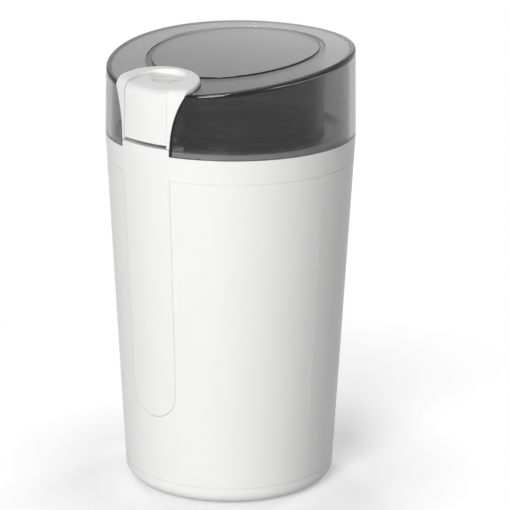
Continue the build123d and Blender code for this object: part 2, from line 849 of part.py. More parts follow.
def make_lower_bracket():
    bracket = disc(core_radius, tail_under, tail_top, y=axis_offset)
    for x, y in window_places():
        bracket -= disc(window_radius, tail_under - OVER, tail_top + OVER, x, y)
    middle = lower_bush_middle
    bracket += disc(housing_radius, middle - bush_length / 2 - bush_end_wall, tail_top, y=axis_offset)
    cavity = Pos(0, axis_offset, middle) * Sphere(bush_sphere + running)
    cavity += disc(bush_sphere + running, middle, tail_top + OVER, y=axis_offset)
    bracket -= cavity
    for angle in bolt_angles:
        x, y = polar(bolt_circle, angle, axis_offset)
        bracket += disc(pillar_radius, tail_under, core_low, x, y)
        bracket -= disc(bolt_radius + slip, tail_under - OVER, core_low + OVER, x, y)
    for side in (1, -1):
        xs = sorted(side * x for x in shelf_reach)
        ys = (axis_offset - shelf_half, axis_offset + shelf_half)
        bracket += block(xs, ys, (tail_top - MEET, brush_z - brush_height / 2 - holder_wall - running))
    return bracket


def self_aligning_bush(middle):
    ball = Pos(0, axis_offset, middle) * Sphere(bush_sphere)
    ball &= disc(bush_sphere + OVER, middle - bush_length / 2, middle + bush_length / 2, y=axis_offset)
    return ball - disc(shaft_radius + running, middle - bush_length, middle + bush_length, y=axis_offset)


def make_upper_bush():
    return self_aligning_bush(upper_bush_middle)


def make_lower_bush():
    return self_aligning_bush(lower_bush_middle)


def make_bush_retainers():
    upper = tube(retainer_outer, retainer_inner, bracket_under - retainer_wall, bracket_under, y=axis_offset)
    lower = tube(retainer_outer, retainer_inner, tail_top, tail_top + retainer_wall, y=axis_offset)
    return group([upper, lower])


def make_motor_bolts():
    bolts = []
    for angle in bolt_angles:
        x, y = polar(bolt_circle, angle, axis_offset)
        bolts.append(pan_screw(x, y, tail_under - bolt_head_height, bracket_top + bolt_past,
                               bolt_radius, bolt_head_radius, bolt_head_height))
    return group(bolts)


def make_bolt_nuts():
    nuts = []
    for angle in bolt_angles:
        x, y = polar(bolt_circle, angle, axis_offset)
        nuts.append(hexagon(bolt_nut_across, bolt_radius + seat_fit,
                            bracket_top, bracket_top + bolt_nut_height, x, y))
    return group(nuts)


def sector(outer, inner, half_angle, low, high):
    """Part of a ring that lies within half_angle of the +Y direction, about the motor's axis."""
    far = 2 * core_radius
    side = far * math.sin(math.radians(half_angle))
    up = far * math.cos(math.radians(half_angle))
    wedge = make_face(Polyline((0, 0), (side, up), (0, far), (-side, up), close=True))
    wedge = Pos(0, 0, low) * extrude(wedge, high - low)
    return tube(outer, inner, low, high) & wedge


def make_stator_core():
    core = tube(core_radius, core_radius - yoke_wall, core_low, core_top)
    for side in (0, 180):
        ys = (bore_radius + MEET, core_radius - OVER)
        pole = block((-pole_half_width, pole_half_width), ys, (core_low, core_top))
        shoe = sector(bore_radius + shoe_wall, bore_radius, shoe_half_angle, core_low, core_top)
        core += Rot(0, 0, side) * (pole + shoe)
    core -= disc(bore_radius, core_low - OVER, core_top + OVER)
    core = Pos(0, axis_offset, 0) * core
    for angle in bolt_angles:
        x, y = polar(bolt_circle, angle, axis_offset)
        core -= disc(bolt_radius + slip, core_low - OVER, core_top + OVER, x, y)
    return core


def make_field_coils():
    coils = []
    low, high = core_low - coil_overhang, core_top + coil_overhang
    for side in (0, 180):
        coil = sector(coil_outer, coil_inner, coil_half_angle, low, high)
        gap = pole_half_width + room
        coil -= block((-gap, gap), (0, BEYOND), (core_low - room, core_top + room))
        coils.append(Pos(0, axis_offset, 0) * Rot(0, 0, side) * coil)
    return group(coils)


def make_armature_core():
    core = disc(armature_radius, core_low, core_top)
    for i in range(armature_slots):
        low, high = core_low - OVER, core_top + OVER
        slot = block((slot_circle, armature_radius + OVER), (-slot_half, slot_half), (low, high))
        slot += disc(slot_radius, low, high, slot_circle)
        core -= Rot(0, 0, 360 / armature_slots * i) * slot
    return Pos(0, axis_offset, 0) * (core - disc(shaft_radius, core_low - OVER, core_top + OVER))


def make_armature_windings():
    heads = []
    for low in (core_low - winding_gap - winding_height, core_top + winding_gap):
        head = tube(winding_radius, winding_bore, low, low + winding_height)
        edges = head.edges().filter_by(GeomType.CIRCLE).sort_by(SortBy.LENGTH)[-2:]
        heads.append(fillet(edges, winding_edge))
    windings = heads[0] + heads[1]
    for i in range(armature_slots):
        x, y = polar(slot_circle, 360 / armature_slots * i)
        windings += disc(slot_radius - winding_gap, core_low - MEET, core_top + MEET, x, y)
    return Pos(0, axis_offset, 0) * windings


def make_commutator():
    low = commutator_high - commutator_length
    body = disc(commutator_radius, low, commutator_high)
    body += disc(commutator_radius + riser_reach, commutator_high - riser_height, commutator_high)
    for i in range(commutator_bars):
        xs = (commutator_radius - bar_gap_depth, commutator_radius + riser_reach + OVER)
        cut = block(xs, (-bar_gap_half, bar_gap_half), (low - OVER, commutator_high + OVER))
        body -= Rot(0, 0, 360 / commutator_bars * i) * cut
    return Pos(0, axis_offset, 0) * (body - disc(shaft_radius, low - OVER, commutator_high + OVER))


def make_fan():
    low = core_top + coil_overhang + fan_gap
    fan = disc(fan_radius, low, low + fan_wall) + disc(fan_hub_radius, low, low + fan_hub_height)
    xs = (fan_hub_radius - MEET, fan_radius - room)
    blade = block(xs, (-fan_blade_half, fan_blade_half), (low + fan_wall / 2, low + fan_blade_top))
    for i in range(fan_blades):
        fan += Rot(0, 0, 360 / fan_blades * i) * blade
    return Pos(0, axis_offset, 0) * (fan - disc(shaft_radius, low - OVER, low + fan_hub_height + OVER))


def box_tube(xs, half_y, half_z, wall):
    outer = block(xs, (-half_y - wall, half_y + wall), (-half_z - wall, half_z + wall))
    return outer - block((xs[0] - OVER, xs[1] - wall), (-half_y, half_y), (-half_z, half_z))


def brush_place(side):
    return Pos(0, axis_offset, brush_z) * Rot(0, 0, 0 if side > 0 else 180)


def make_brush_holders():
    holder = box_tube(holder_reach, brush_width / 2 + running, brush_height / 2 + running, holder_wall)
    return group([brush_place(side) * holder for side in (1, -1)])


def make_brushes():
    brush = block((commutator_radius - OVER, brush_end), (-brush_width / 2, brush_width / 2),
                  (-brush_height / 2, brush_height / 2))
    brush -= Cylinder(commutator_radius + running, 2 * brush_height)
    return group([brush_place(side) * brush for side in (1, -1)])


def make_brush_springs():
    low, high = brush_spring_reach
    coil = coil_spring(0, 0, low, high, brush_spring_radius, brush_spring_wire, brush_spring_turns)
    return group([brush_place(side) * Rot(0, 90, 0) * coil for side in (1, -1)])


def make_thermal_fuse():
    middle = (coil_inner + coil_outer) / 2
    low = core_low - coil_overhang - room
    place = Pos(0, axis_offset - middle, low - fuse_radius) * Rot(0, 90, 0)
    return place * (Cylinder(fuse_radius, fuse_length) + Cylinder(fuse_wire_radius, fuse_wire_length))


def board_posts():
    return [(x, y) for x in (board_xs[0] + board_inset, board_xs[1] - board_inset)
            for y in (board_ys[0] + board_inset, board_ys[1] - board_inset)]


def make_circuit_board():
    board = block(board_xs, board_ys, (board_low, board_top))
    for x, y in board_posts():
        board -= disc(board_hole_radius, board_low - OVER, board_top + OVER, x, y)
    return board


def make_board_screws():
    low, high = board_low - 2 * OVER, board_top + board_head_height
    shank = board_pilot_radius - running
    return group([pan_screw(x, y, low, high, shank, board_head_radius, board_head_height, False)
                  for x, y in board_posts()])


def make_capacitor():
    body = block(capacitor_xs, capacitor_ys, (board_top, board_top + capacitor_height))
    return fillet(body.edges().group_by(Axis.Z)[-1], capacitor_edge)


def make_choke_coils():
    coil = Cylinder(choke_radius, choke_length) + Cylinder(choke_core_radius, choke_core_length)
    return group([Pos(choke_x, y, board_top + choke_radius) * Rot(0, 90, 0) * coil for y in choke_ys])


def make_terminal_block():
    top = board_top + block_height
    body = block(block_xs, block_ys, (board_top, top))
    for x in terminal_xs:
        body -= disc(terminal_well_radius, board_top + terminal_well_floor, top + OVER, x, terminal_y)
        hole = Pos(x, block_ys[0] - OVER, board_top + lead_height) * Rot(-90, 0, 0)
        body -= hole * Cylinder(lead_hole_radius, 4 * OVER, align=BOTTOM)
    return body


def make_cord_clamp():
    clamp = block((-clamp_half, clamp_half), clamp_ys, (inlet_height - room, inlet_height + clamp_height))
    clamp -= Pos(0, 0, inlet_height) * Rot(-90, 0, 0) * Cylinder(inlet_bore - room, 4 * BEYOND)
    for x in (-clamp_screw_x, clamp_screw_x):
        clamp -= disc(clamp_hole_radius, 0, BEYOND, x, clamp_y)
        clamp -= disc(clamp_well_radius, inlet_height + clamp_well_height, BEYOND, x, clamp_y)
    return clamp


def make_clamp_screws():
    high = inlet_height + clamp_well_height + clamp_head_height
    low = high - clamp_screw_length
    shank = clamp_pilot_radius - running
    return group([pan_screw(x, clamp_y, low, high, shank, clamp_head_radius, clamp_head_height, False)
                  for x in (-clamp_screw_x, clamp_screw_x)])


def make_inlet_grommet():
    reach = body_radius(inlet_height)
    start = reach - shell_wall - inlet_inner_flange
    place = Pos(0, start, inlet_height) * Rot(-90, 0, 0)
    length = shell_wall + inlet_inner_flange + inlet_outer_flange
    body = place * Cylinder(inlet_flange, length, align=BOTTOM)
    low, high = inlet_height - 2 * inlet_flange, inlet_height + 2 * inlet_flange
    wall = taper(body_radius, low, high, -slip)
    wall -= taper(body_radius, low - OVER, high + OVER, shell_wall + slip)
    through = place * Pos(0, 0, -OVER)
    wall -= through * Cylinder(inlet_neck - slip, length + 2 * OVER, align=BOTTOM)
    grommet = body - wall
    return grommet - through * Cylinder(inlet_bore, length + 2 * OVER, align=BOTTOM)


def make_plunger():
    high = deck_under - room
    low = high - plunger_flange_wall
    plunger = disc(plunger_radius, low, plunger_top, y=-stem_distance)
    plunger += disc(plunger_flange, low, high, y=-stem_distance)
    return plunger + disc(plunger_foot_radius, tip_top, low + MEET, y=-stem_distance)


def make_switch_tip():
    return disc(tip_radius, tip_top - tip_length, tip_top, y=-stem_distance)


def make_switch_body():
    ys = (-switch_distance - switch_width / 2, -switch_distance + switch_width / 2)
    body = block((-switch_length / 2, switch_length / 2), ys, (switch_low, switch_top))
    well = tip_top - tip_length - button_travel - MEET
    body -= disc(tip_radius + running, well, switch_top + OVER, y=-stem_distance)
    for x in (-switch_pin_x, switch_pin_x):
        hole = Cylinder(switch_pin_radius + running, 2 * switch_width)
        body -= Pos(x, -switch_distance, switch_pin_z) * Rot(90, 0, 0) * hole
    return body


def make_switch_terminals():
    ys = (-switch_distance - terminal_width / 2, -switch_distance + terminal_width / 2)
    zs = (switch_low - terminal_drop, switch_low)
    blade = block((-terminal_half, terminal_half), ys, zs)
    return group([Pos(x, 0, 0) * blade for x in (-terminal_x, 0, terminal_x)])


def make_switch_bracket():
    back = -switch_distance + switch_width / 2
    ys = (back + running, back + running + bracket_plate_wall)
    zs = (switch_low - bracket_past, frame_flange_top + bracket_arch)
    plate = block((-bracket_half, bracket_half), ys, zs)
    for x in (-switch_pin_x, switch_pin_x):
        pin = Cylinder(switch_pin_radius, switch_width, align=BOTTOM)
        plate += Pos(x, ys[0] + MEET, switch_pin_z) * Rot(90, 0, 0) * pin
    low, high = frame_flange_top, frame_flange_top + ear_wall
    for side in (1, -1):
        xs = sorted((side * bracket_inner, side * (ear_x + ear_reach)))
        plate += block(xs, (-ear_distance - ear_reach, ys[1]), (low, high))
        plate -= disc(ear_pilot_radius + room, low - OVER, high + OVER, side * ear_x, -ear_distance)
    return plate


def make_switch_screws():
    low = frame_flange_top - frame_flange_wall - thread_past
    high = frame_flange_top + ear_wall + ear_head_height
    shank = ear_pilot_radius - running
    return group([pan_screw(x, -ear_distance, low, high, shank, ear_head_radius, ear_head_height, False)
                  for x in (-ear_x, ear_x)])


def lead(points, radii):
    path = FilletPolyline(*points, radius=radii)
    section = Plane(origin=path @ 0, z_dir=path % 0) * Circle(lead_radius)
    return sweep(section, path=path)


def make_switch_leads():
    top = switch_low - terminal_drop
    end = board_top + lead_height
    leads = []
    for x, target in ((-terminal_x, terminal_xs[0]), (terminal_x, terminal_xs[1])):
        side = x * lead_spread
        outer, middle, inner = [lead_inset - switch_distance for lead_inset in lead_insets]
        points = [(x, -switch_distance, top), (x, -switch_distance, top - lead_drops[0]),
                  (side, outer, top - lead_drops[1]),
                  (side, middle, lead_heights[0]), (side, inner, lead_heights[1]),
                  (target, lead_turn_ys[0], end + lead_rise), (target, lead_turn_ys[1], end),
                  (target, block_ys[0] - slip, end)]
        leads.append(lead(points, lead_bends))
    return group(leads)


def ring_groove():
    """What is cut for the channel round the bowl's axis, which follows the arched top."""
    middle = skirt_radius - skirt_wall / 2
    half = groove_width / 2
    groove = tube(middle + half, middle - half, pocket_floor, above_lid, y=axis_offset)
    groove -= under_arch(-groove_depth)
    edges = groove.edges().filter_by(lambda e: e.length > math.pi * middle)
    low_edges = edges.filter_by(lambda e: (e @ 0.3).Z < above_lid - OVER)
    return fillet(low_edges, groove_edge_radius)


def make_lid_shell():
    outer = Rot(0, 0, lid_turn) * taper(lid_radius, seam_height, above_lid)
    lid = outer & under_arch()
    top_face = lid.faces().sort_by(Axis.Z)[-1]
    lid = fillet(top_face.edges(), lid_edge_radius)
    hollow = taper(lid_radius, seam_height - OVER, above_lid, lid_wall) & under_arch(-lid_top_wall)
    lid -= hollow
    skirt_low = seam_height - skirt_plunge
    skirt = tube(skirt_radius, skirt_radius - skirt_wall, skirt_low, lid_back_height, y=axis_offset)
    lid += skirt & under_arch(-lid_top_wall / 2)
    pocket_outer = pocket_radius + pocket_wall
    lid -= pocket_prism(pocket_outer, pocket_low, above_lid)
    walls = pocket_prism(pocket_outer, pocket_low, above_lid)
    walls -= pocket_prism(pocket_radius, pocket_low - OVER, above_lid + OVER)
    lid += walls & taper(lid_radius, pocket_low, above_lid, seat_fit) & under_arch(-seat_fit)
    floor = pocket_prism(pocket_outer - MEET, pocket_low, pocket_floor)
    lid += floor & taper(lid_radius, pocket_low, pocket_floor, button_wall + room)
    lid -= strip_prism(strip_line, seam_height - OVER, pocket_low)
    lid -= make_switch_bezel(slip)
    lid -= disc(stem_radius + stem_play, pocket_low - OVER, pocket_floor + OVER, y=-stem_distance)
    lid -= ring_groove()
    line = disc(BEYOND, seam_height - OVER, seam_height + seam_line)
    line -= disc(seam_radius - seam_step, seam_height - 2, seam_height + 2)
    return lid - line


def frame_front(extra, top):
    """Front outline of the button's frame: upright legs that flare outwards, run backwards."""
    low = pad_top + room - extra
    leg = pocket_radius + frame_leg + extra
    wide = frame_half_width + extra
    flare_top = arch_height(-lid_top_radius)
    side = TangentArc((leg, low), (wide, flare_top), tangent=(0, 1))
    other = TangentArc((-leg, low), (-wide, flare_top), tangent=(0, 1))
    rest = Polyline((wide, flare_top), (wide, top), (-wide, top), (-wide, flare_top))
    foot = Line((-leg, low), (leg, low))
    face = make_face([side, rest, other, foot])
    return extrude(Plane.XZ.offset(frame_centre - frame_half_depth - 3 * OVER) * face, BEYOND)


def make_switch_bezel(extra=0.0):
    """Horseshoe frame: two legs flush with the lid's side that flare into a raised top ring."""
    low = pad_top + room - extra
    top = arch_height(frame_half_depth - frame_centre) + frame_rise + 3 * OVER
    wide = frame_half_width + extra
    skin = taper(lid_radius, low, top) - taper(lid_radius, low - OVER, top + OVER, frame_sink + extra)
    ring = Pos(0, -frame_centre, low) * extrude(Ellipse(wide, frame_half_depth + extra), top - low)
    ring += block((-wide, wide), (-BEYOND, -frame_centre), (low, top))
    ring = (ring & taper(lid_radius, low, top)) - under_arch(-frame_sink - extra)
    bezel = (skin + ring) & under_arch(frame_rise) & frame_front(extra, top)
    bezel -= pocket_prism(pocket_radius - extra, low - OVER, top + OVER)
    if extra:
        return bezel
    crown = bezel.faces().sort_by(Axis.Z)[-1]
    bezel = fillet(crown.edges().sort_by(Axis.Y)[:2], button_edge_radius)
    crown = bezel.faces().sort_by(Axis.Z)[-1]
    side = frame_half_width - slip
    back = frame_half_depth - frame_centre - slip
    rim = crown.edges().filter_by(lambda e: abs(e.center().X) > side or e.center().Y > back)
    return fillet(rim, frame_edge_radius)


def make_button_cap():
    top = above_lid
    cap = pocket_prism(button_radius, button_low, top) & taper(lid_radius, button_low, top)
    cap &= under_arch(button_rise)
    crown = cap.faces().sort_by(Axis.Z)[-1]
    front = crown.edges().sort_by(Axis.Y)[0]
    cap = fillet(front, button_edge_radius)
    crown = cap.faces().sort_by(Axis.Z)[-1]
    cap = fillet(crown.edges().sort_by(Axis.Y)[1:], button_rim_radius)
    hollow = pocket_prism(button_radius - button_wall, button_low - OVER, top)
    hollow &= taper(lid_radius, button_low - OVER, top, button_wall)
    hollow &= under_arch(button_rise - dimple_depth - button_roof)
    cap -= hollow
    lift = pocket_prism(button_radius + OVER, button_low - OVER, pocket_floor + press_gap + slip)
    cap -= lift & taper(lid_radius, button_low - OVER, top, button_wall)
    ball = (dimple_width ** 2 / 4 + dimple_depth ** 2) / (2 * dimple_depth)
    centre = arch_height(-dimple_distance, button_rise) + ball - dimple_depth
    cap -= Pos(0, -dimple_distance, centre) * Sphere(ball)
    mark = tube(mark_radius + mark_width, mark_radius, pocket_floor, top, y=-dimple_distance)
    cap -= mark & (Pos(0, -dimple_distance, centre) * Sphere(ball + mark_depth))
    under = arch_height(-stem_distance, button_rise) - button_roof
    cap += disc(stem_radius, plunger_top + slip, under, y=-stem_distance)
    cap += disc(spring_radius + OVER, under - spring_seat_drop, under, y=-stem_distance)
    for turn in (0, 90):
        rib = block((-button_rib_reach, button_rib_reach), (-button_rib_half, button_rib_half),
                    (under - button_rib_depth, under))
        cap += (Pos(0, -stem_distance, 0) * Rot(0, 0, turn) * rib) & hollow
    neck = stem_radius - clip_groove
    return cap - tube(clip_radius + OVER, neck, clip_low, clip_low + clip_wall, y=-stem_distance)


def make_stem_clip():
    neck = stem_radius - clip_groove + seat_fit
    ring = tube(clip_radius, neck, clip_low, clip_low + clip_wall, y=-stem_distance)
    mouth_ys = (-stem_distance, -stem_distance + clip_radius + OVER)
    mouth = block((-clip_mouth_half, clip_mouth_half), mouth_ys, (clip_low - OVER, clip_low + 2 * OVER))
    return ring - mouth


def make_button_spring():
    under = arch_height(-stem_distance, button_rise) - button_roof - spring_seat_drop
    return coil_spring(0, -stem_distance, pocket_floor, under, spring_radius, spring_wire, spring_turns)


nodes = {
    "body_shell": make_body_shell,
    "base_cover": make_base_cover,
    "rubber_feet": make_feet,
    "base_screws": make_base_screws,
    "collar": make_collar,
    "bowl_gasket": make_bowl_gasket,
    "grinding_bowl": make_bowl,
    "bowl_bush": make_bowl_bush,
    "bowl_nut": make_bowl_nut,
    "shaft_seal": make_shaft_seal,
    "motor_frame": make_motor_frame,
    "frame_screws": make_frame_screws,
    "rubber_mounts": make_rubber_mounts,
    "mount_screws": make_mount_screws,
    "upper_bracket": make_upper_bracket,
    "lower_bracket": make_lower_bracket,
    "upper_bush": make_upper_bush,
    "lower_bush": make_lower_bush,
    "bush_retainers": make_bush_retainers,
    "motor_bolts": make_motor_bolts,
    "bolt_nuts": make_bolt_nuts,
    "stator_core": make_stator_core,
    "field_coils": make_field_coils,
    "thermal_fuse": make_thermal_fuse,
    "brush_holders": make_brush_holders,
    "carbon_brushes": make_brushes,
    "brush_springs": make_brush_springs,
    "motor_shaft": make_shaft,
    "armature_core": make_armature_core,
    "armature_windings": make_armature_windings,
    "commutator": make_commutator,
    "cooling_fan": make_fan,
    "drive_collar": make_drive_collar,
    "grinding_blade": make_blade,
    "blade_washer": make_blade_washer,
    "blade_nut": make_blade_nut,
    "circuit_board": make_circuit_board,
    "board_screws": make_board_screws,
    "capacitor": make_capacitor,
    "choke_coils": make_choke_coils,
    "terminal_block": make_terminal_block,
    "cord_clamp": make_cord_clamp,
    "clamp_screws": make_clamp_screws,
    "cord_grommet": make_inlet_grommet,
    "interlock_plunger": make_plunger,
    "switch_tip": make_switch_tip,
    "switch_body": make_switch_body,
    "switch_terminals": make_switch_terminals,
    "switch_bracket": make_switch_bracket,
    "switch_screws": make_switch_screws,
    "switch_leads": make_switch_leads,
    "lid_shell": make_lid_shell,
    "switch_bezel": make_switch_bezel,
    "button_cap": make_button_cap,
    "stem_clip": make_stem_clip,
    "button_spring": make_button_spring,
}

os.makedirs("parts", exist_ok=True)
for name, make in nodes.items():
    shape = make()
    export_step(shape, os.path.join("parts", name + ".step"))
    print(name, len(shape.solids()), "solids")
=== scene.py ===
# %% [markdown]
# # A coffee grinder, dressed cell by cell
# The object is a small electric grinder: a white tapered body, a smoke-tinted lid that one looks
# through, and a white button in the lid that is held down with the thumb while it grinds. Its shapes
# come from a packed CAD model, which is loaded first and never moved. What is added here is what CAD
# leaves out: finishes with real grain and wear, screws with a recess and a thread, springs with
# closed ends, the studio and the camera. Everything is in metres, in the model's own frame.

# %% Load the frame
import json
import math

import bpy
from mathutils import Matrix, Vector


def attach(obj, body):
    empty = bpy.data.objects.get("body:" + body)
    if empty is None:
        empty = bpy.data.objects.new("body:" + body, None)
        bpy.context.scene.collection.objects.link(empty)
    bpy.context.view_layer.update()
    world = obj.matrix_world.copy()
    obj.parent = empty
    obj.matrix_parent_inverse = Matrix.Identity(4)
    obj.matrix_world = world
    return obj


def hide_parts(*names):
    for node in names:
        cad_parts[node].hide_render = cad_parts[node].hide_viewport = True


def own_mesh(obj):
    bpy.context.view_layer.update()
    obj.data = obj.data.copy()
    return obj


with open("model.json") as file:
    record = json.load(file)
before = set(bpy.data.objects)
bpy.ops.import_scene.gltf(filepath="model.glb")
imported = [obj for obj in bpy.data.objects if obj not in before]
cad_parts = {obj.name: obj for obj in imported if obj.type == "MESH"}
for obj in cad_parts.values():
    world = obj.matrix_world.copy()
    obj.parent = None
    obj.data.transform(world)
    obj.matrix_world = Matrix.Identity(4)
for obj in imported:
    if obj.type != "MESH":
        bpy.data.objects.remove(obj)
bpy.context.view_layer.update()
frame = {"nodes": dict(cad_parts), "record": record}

nodes = frame["nodes"]
slot_of = {part["node"]: part["material_slot"] for part in frame["record"]["subparts"]}
body_of = {node: body for body, members in frame["record"]["behaviour"]["bodies"].items()
           for node in members}

# %% [markdown]
# ## The camera
# The photograph was taken from a little above, with a long lens, so the sides of the grinder hardly
# converge. A camera could be aimed by eye with a Track To constraint, but here its three axes were
# solved from the round outlines of the lid, the seam and the foot, so they are written down as the
# columns of its matrix: right, up, and back towards the photographer.

# %% Camera
EYE = Vector((0.654506, -0.700514, 0.369673))
RIGHT = Vector((0.7358, 0.6771, 0.0070))
BACK = Vector((0.6477, -0.7068, 0.2846)).normalized()
UP = BACK.cross(RIGHT).normalized()

lens = bpy.data.cameras.new("camera")
lens.lens = 189.17
lens.sensor_width = 36.0
lens.clip_start = 0.05
lens.clip_end = 30.0
camera = bpy.data.objects.new("camera", lens)
bpy.context.scene.collection.objects.link(camera)
axes = Matrix((UP.cross(BACK), UP, BACK)).transposed()
camera.matrix_world = Matrix.Translation(EYE) @ axes.to_4x4()
bpy.context.scene.camera = camera
print("camera is", round(EYE.length, 3), "m from the foot, lens", lens.lens, "mm")

# %% [markdown]
# ## Node trees as plain sums
# Shader maths drawn as boxes soon becomes a web that nobody can read. A socket wrapped in a small
# class that knows plus, minus, times and divide lets a finish be written as a formula, and each sign
# adds its own Math node. One method makes every other node: it takes the type, the settings, which
# are set first because they decide the sockets, and then values or links.

# %% Sockets and node trees
class Socket:
    """One output of a node, ready for use in a formula."""

    def __init__(self, tree, socket):
        self.tree, self.socket = tree, socket

    def __add__(self, other):
        return self.tree.maths("ADD", self, other)

    def __sub__(self, other):
        return self.tree.maths("SUBTRACT", self, other)

    def __rsub__(self, other):
        return self.tree.maths("SUBTRACT", other, self)

    def __mul__(self, other):
        return self.tree.maths("MULTIPLY", self, other)

    def __truediv__(self, other):
        return self.tree.maths("DIVIDE", self, other)

    def __pow__(self, other):
        return self.tree.maths("POWER", self, other)

    def clamped(self):
        return self.tree.node("ShaderNodeClamp", {}, {"Value": self})["Result"]

    __radd__, __rmul__ = __add__, __mul__


class Tree:
    """A node tree that is filled by one method."""

    def __init__(self, node_tree):
        self.node_tree = node_tree
        node_tree.nodes.clear()

    def node(self, kind, settings=None, inputs=None):
        made = self.node_tree.nodes.new(kind)
        for key, value in (settings or {}).items():
            if key == "stops":
                self.set_stops(made.color_ramp, value)
            else:
                setattr(made, key, value)
        named = self.by_name(made.inputs)
        for key, value in (inputs or {}).items():
            target = made.inputs[key] if isinstance(key, int) else named[key]
            several = value if isinstance(value, list) else [value]
            if isinstance(several[0], Socket):
                for source in several:
                    self.node_tree.links.new(source.socket, target)
            else:
                target.default_value = value
        return {name: Socket(self, socket) for name, socket in self.by_name(made.outputs).items()}

    def maths(self, operation, *values):
        inputs = dict(enumerate(values))
        return self.node("ShaderNodeMath", {"operation": operation}, inputs)["Value"]

    @staticmethod
    def by_name(sockets):
        """The sockets in use. Some nodes have several of one name, and the first counts."""
        found = {}
        for socket in sockets:
            if socket.enabled:
                found.setdefault(socket.name, socket)
        return found

    @staticmethod
    def set_stops(ramp, stops):
        while len(ramp.elements) < len(stops):
            ramp.elements.new(1.0)
        for element, (position, level) in zip(ramp.elements, stops):
            element.position = position
            element.color = grey(level)


def grey(level):
    return (level, level, level, 1.0)


def shade(colour, factor):
    return tuple(channel * factor for channel in colour[:3]) + (1.0,)


print("half of white is", shade(grey(1.0), 0.5))

# %% [markdown]
# ## What every finish needs
# A finish starts from Object coordinates, which are metres on the real object, so a grain of 0.4 mm
# is asked for as 0.0004. The worn edge could be painted by hand. The Bevel node finds it instead: it
# gives the normal that a rounded edge would have, and where that turns away from the true normal
# there is an edge, which fingers have polished or scuffed.

# %% A finish and its common masks
class Finish(Tree):
    """A material that is described by its maker's sizes, in metres."""

    def __init__(self, name):
        self.material = bpy.data.materials.new(name)
        self.material.use_nodes = True
        super().__init__(self.material.node_tree)

    def place(self, shift=(0.0, 0.0, 0.0), scale=(1.0, 1.0, 1.0)):
        coordinates = self.node("ShaderNodeTexCoord")["Object"]
        if shift == (0.0, 0.0, 0.0) and scale == (1.0, 1.0, 1.0):
            return coordinates
        inputs = {"Vector": coordinates, "Location": shift, "Scale": scale}
        return self.node("ShaderNodeMapping", {}, inputs)["Vector"]

    def noise(self, place, size, detail=2.0):
        inputs = {"Vector": place, "Scale": 1.0 / size, "Detail": detail, "Roughness": 0.55}
        return self.node("ShaderNodeTexNoise", {}, inputs)["Fac"]

    def ramp(self, value, *stops):
        return self.node("ShaderNodeValToRGB", {"stops": stops}, {"Fac": value})["Color"]

    def mix(self, factor, first, second):
        inputs = {"Factor": factor, "A": first, "B": second}
        return self.node("ShaderNodeMix", {"data_type": "RGBA"}, inputs)["Result"]

    def tones(self, mask, colour, low, high):
        """The colour times low where the mask is 0, and times high where it is 1."""
        return self.mix(mask, shade(colour, low), shade(colour, high))

    def edge(self, radius=0.0004, strength=3.0):
        """1 at the edges that hands and tools reach, 0 on open faces."""
        rounded = self.node("ShaderNodeBevel", {"samples": 4}, {"Radius": radius})["Normal"]
        true = self.node("ShaderNodeNewGeometry")["Normal"]
        dot = self.node("ShaderNodeVectorMath", {"operation": "DOT_PRODUCT"},
                        {0: rounded, 1: true})["Value"]
        return ((1.0 - dot) * strength).clamped()

    def axes(self, place):
        return self.node("ShaderNodeSeparateXYZ", {}, {"Vector": place})

    def polar(self, shift):
        """Distance from an upright axis, direction round it and height."""
        parts = self.axes(self.place(shift))
        radius = (parts["X"] * parts["X"] + parts["Y"] * parts["Y"]) ** 0.5
        return radius, parts["X"] / radius, parts["Y"] / radius, parts["Z"]

    def bump(self, height, depth, over=None):
        inputs = {"Height": height, "Distance": depth, "Strength": 1.0}
        if over is not None:
            inputs["Normal"] = over
        return self.node("ShaderNodeBump", {}, inputs)["Normal"]

    def shader(self, colour, roughness, normal, **more):
        inputs = {"Base Color": colour, "Roughness": roughness, "Normal": normal}
        inputs.update((key.replace("_", " "), value) for key, value in more.items())
        return self.node("ShaderNodeBsdfPrincipled", {}, inputs)["BSDF"]

    def blend(self, factor, first, second):
        return self.node("ShaderNodeMixShader", {}, {0: factor, 1: first, 2: second})["Shader"]

    def output(self, shader):
        self.node("ShaderNodeOutputMaterial", {}, {"Surface": shader})
        return self.material


finishes = {}


def add_finishes(rule, looks):
    """One finish by the rule for each name, with its own sizes."""
    for name, look in looks.items():
        finishes[name] = rule(name, **look)
    print(rule.__name__ + ":", list(looks))


print("a finish has", [name for name in dir(Finish) if not name.startswith("_")])

# %% [markdown]
# ## The studio
# The photograph has a white ground and one broad soft light from the left and a little in front, so
# the body fades from white to mid grey towards the right. Lamps strong enough to burn the floor out
# to white would burn out the body too. So the light stays plain, and the world and the floor show
# white to the camera and to glass, and part of it to gloss, by the Light Path node. Rays that have
# already left a matt surface are left out, because through the lid they would light the chamber with
# that white. To them the floor is a duller paper, which throws less light up at the body.
# The two wing lamps stand behind, left and right, and lift the body's edges. Gloss and glass don't
# see them, because they would draw bright lines down the lid.
# Near the foot the floor glows less, least at about 55 mm from the axis, which is a painted shadow
# round the foot on top of the lamps' soft shadow. Farther out it fades into plain white, so the lid
# has the same white behind it on every side.

# %% World and lamps
AMBIENT = 0.16           # what the room gives from all sides
MIRRORED = 0.6           # share of the white ground that gloss shows


def seen_directly(tree):
    """1 for rays of the camera and through glass, MIRRORED off gloss, 0 after a matt surface."""
    rays = tree.node("ShaderNodeLightPath")
    direct = 1.0 - rays["Diffuse Depth"].clamped()
    looks = rays["Is Camera Ray"] + rays["Is Transmission Ray"] + rays["Is Glossy Ray"] * MIRRORED
    return looks.clamped() * direct


